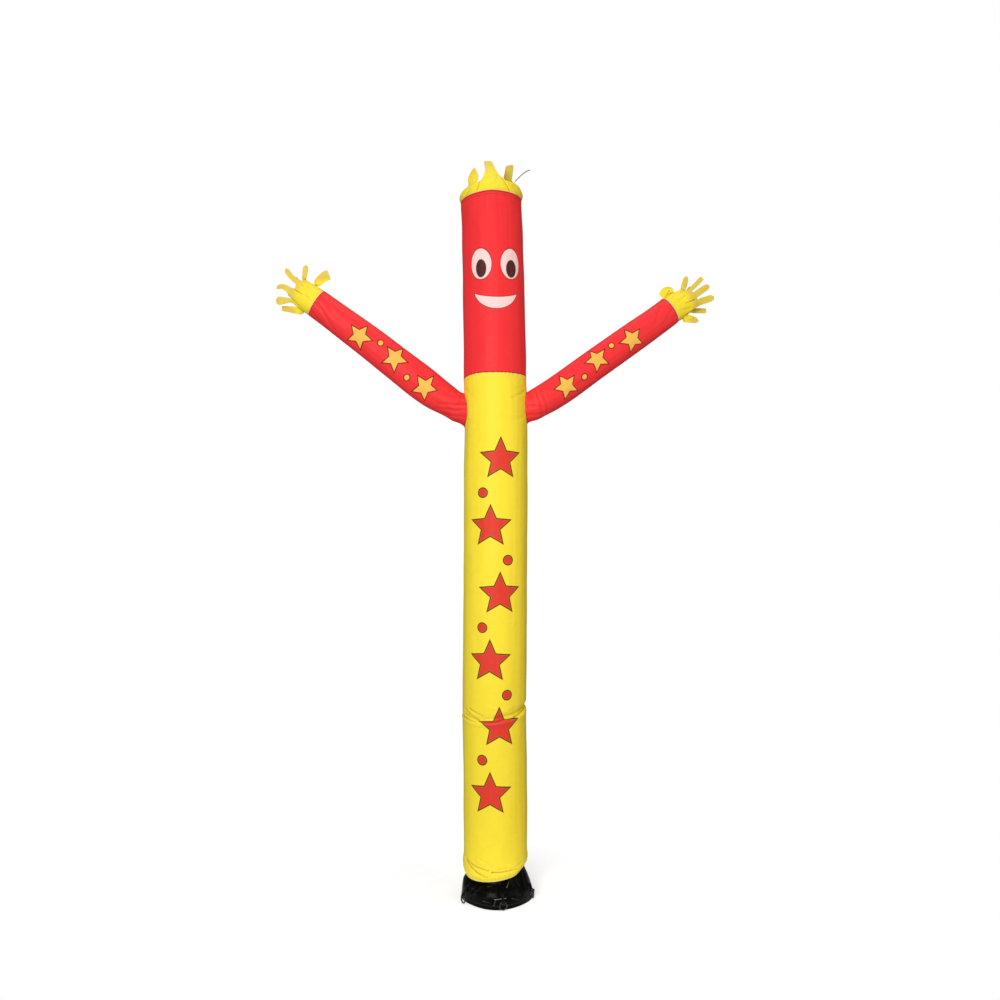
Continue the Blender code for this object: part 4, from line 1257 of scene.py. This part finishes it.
def makeTab(number, angle, look):
    # down the collar, round the ring and up again over itself
    outward = roundPoint(angle, 1.0, 0.0)
    sideways = roundPoint(angle + 0.5 * pi, 1.0, 0.0)
    lay = 0.5 * tabSizes["thickness"] + tabSizes["layOff"]
    eye = tabSizes["eye"]
    ringTop = ringSizes["height"] + ringSizes["radius"] - ringSizes["bow"]
    drop = ringTop + tabSizes["eyeTop"] - tabSizes["top"]
    line = [(lay, tabSizes["top"] + drop * i / 8.0) for i in range(9)]
    back = [(lay + tabSizes["thickness"] + tabSizes["layerGap"], height) for _, height in reversed(line)]
    for i in range(tabSizes["eyeSteps"]):
        turn = radians(tabSizes["eyeTurn"] * i / (tabSizes["eyeSteps"] - 1))
        line.append((lay + eye - eye * cos(turn), ringTop - eye * sin(turn)))
    line += back
    ways = [0.0]
    for (outA, highA), (outB, highB) in zip(line, line[1:]):
        ways.append(ways[-1] + hypot(outB - outA, highB - highA) * mm)

    def place(across, along):
        i = round(along * (len(line) - 1))
        out, height = line[i]
        base = collarSpot(angle, height * mm)
        reach = ease((tabSizes["top"] - height) / (tabSizes["top"] - ringTop))
        out += ringSizes["standOff"].get(number, 0.0) * reach
        side = (across - 0.5) * tabSizes["width"] * mm
        return base + outward * (out * mm) + sideways * side, (side, ways[i])

    tab = newPiece(f"webbingTab{number}", sewTube(6, len(line) - 1, place), look)
    addWall(tab, tabSizes["thickness"] * mm, 0.0)
    edge = tab.modifiers.new("edge", "BEVEL")
    edge.width = 0.0003
    edge.segments = 2
    edge.limit_method = "ANGLE"
    standsFor(tab, f"tab_{number}")


def makeRing(number, angle, look):
    out = 0.5 * tabSizes["thickness"] + tabSizes["layOff"] + tabSizes["eye"]
    out += ringSizes["standOff"].get(number, 0.0)
    outward = roundPoint(angle, 1.0, 0.0)
    sideways = roundPoint(angle + 0.5 * pi, 1.0, 0.0)
    place = collarSpot(angle, (ringSizes["height"] + ringSizes["radius"]) * mm) + outward * (out * mm)
    place.z = ringSizes["height"] * mm
    bm = bmesh.new()
    wire = bmesh.ops.create_circle(bm, cap_ends=False, segments=ringSizes["wireSides"],
                                   radius=ringSizes["wire"] * mm)["verts"]
    for vert in wire:
        vert.co = place + sideways * (ringSizes["radius"] * mm + vert.co.x) + outward * vert.co.y
    bmesh.ops.spin(bm, geom=list(bm.verts) + list(bm.edges), cent=place, axis=outward, angle=2.0 * pi,
                   steps=ringSizes["steps"], use_merge=True)
    bmesh.ops.remove_doubles(bm, verts=bm.verts, dist=0.00002)
    bmesh.ops.recalc_face_normals(bm, faces=bm.faces)
    ring = newPiece(f"tieRing{number}", bm, look)
    standsFor(ring, f"ring_{number}")


# Floor and light

studio = dict(floor=0.68, clear=0.15, ambient=0.22, floorGlow=0.42)
lightColumns = ("name", "x", "y", "z", "aimHeight", "power", "size", "colour")
lights = (
    ("key", -1.15, -4.9, 2.2, 1.50, 205.0, 1.8, (1.0, 1.0, 1.0)),
    ("right", 4.1, -1.9, 1.9, 1.50, 38.0, 1.8, (1.0, 0.84, 0.66)),
    ("top", 0.0, 0.0, 5.6, 0.00, 60.0, 3.4, (1.0, 1.0, 1.0)),
)


def makeFloor():
    # a pale disc of floor that fades out into the white around it
    look, tree, shader = newLook("paleFloor")
    far = newNode(tree, "VectorMath", {}, operation="LENGTH")
    feed(objectPlace(tree), far.inputs[0])
    fade = ranged(far.outputs["Value"], studio["clear"], studio["floor"], 1.0, 0.0, "SMOOTHSTEP")
    feedAll(shader, {"Base Color": (0.96, 0.96, 0.96), "Roughness": 0.95, "Specular IOR Level": 0.1,
                     "Emission Color": (1.0, 1.0, 1.0), "Emission Strength": studio["floorGlow"],
                     "Alpha": fade})
    bm = bmesh.new()
    bmesh.ops.create_grid(bm, x_segments=1, y_segments=1, size=studio["floor"])
    newPiece("floor", bm, look)


def makeLights():
    world = bpy.data.worlds.new("studio")
    bpy.context.scene.world = world
    world.use_nodes = True
    seen = newNode(world.node_tree, "LightPath", {}).outputs["Is Camera Ray"]
    strength = sums("MULTIPLY_ADD", seen, 1.0 - studio["ambient"], studio["ambient"])
    feedAll(world.node_tree.nodes["Background"], {"Color": (1.0, 1.0, 1.0), "Strength": strength})
    for row in named(lightColumns, lights):
        data = bpy.data.lights.new(row["name"], "AREA")
        data.color = row["colour"]
        data.energy = row["power"]
        data.size = row["size"]
        light = bpy.data.objects.new(row["name"], data)
        light.location = (row["x"], row["y"], row["z"])
        aim = Vector((0.0, 0.0, row["aimHeight"])) - light.location
        light.rotation_euler = aim.to_track_quat("-Z", "Y").to_euler()
        bpy.context.scene.collection.objects.link(light)
    bpy.context.scene.view_settings.view_transform = "Standard"
    bpy.context.scene.view_settings.look = "None"


setCamera()
print("camera is set")
makeCord()
print("cord is made")
makeCollar()
makeBody()
makeHead()
print("collar, body and head are made")
for name in sideOf:
    makeArm(name)
for name in sideOf:
    makeHand(name)
makeHair()
print("sleeves, hands and hair are made")
webbing, metal = webbingLook(), ringLook()
for number, degrees in enumerate(ringSizes["angles"], start=1):
    makeTab(number, radians(degrees), webbing)
    makeRing(number, radians(degrees), metal)
print("tabs and rings are made")
makeFloor()
makeLights()
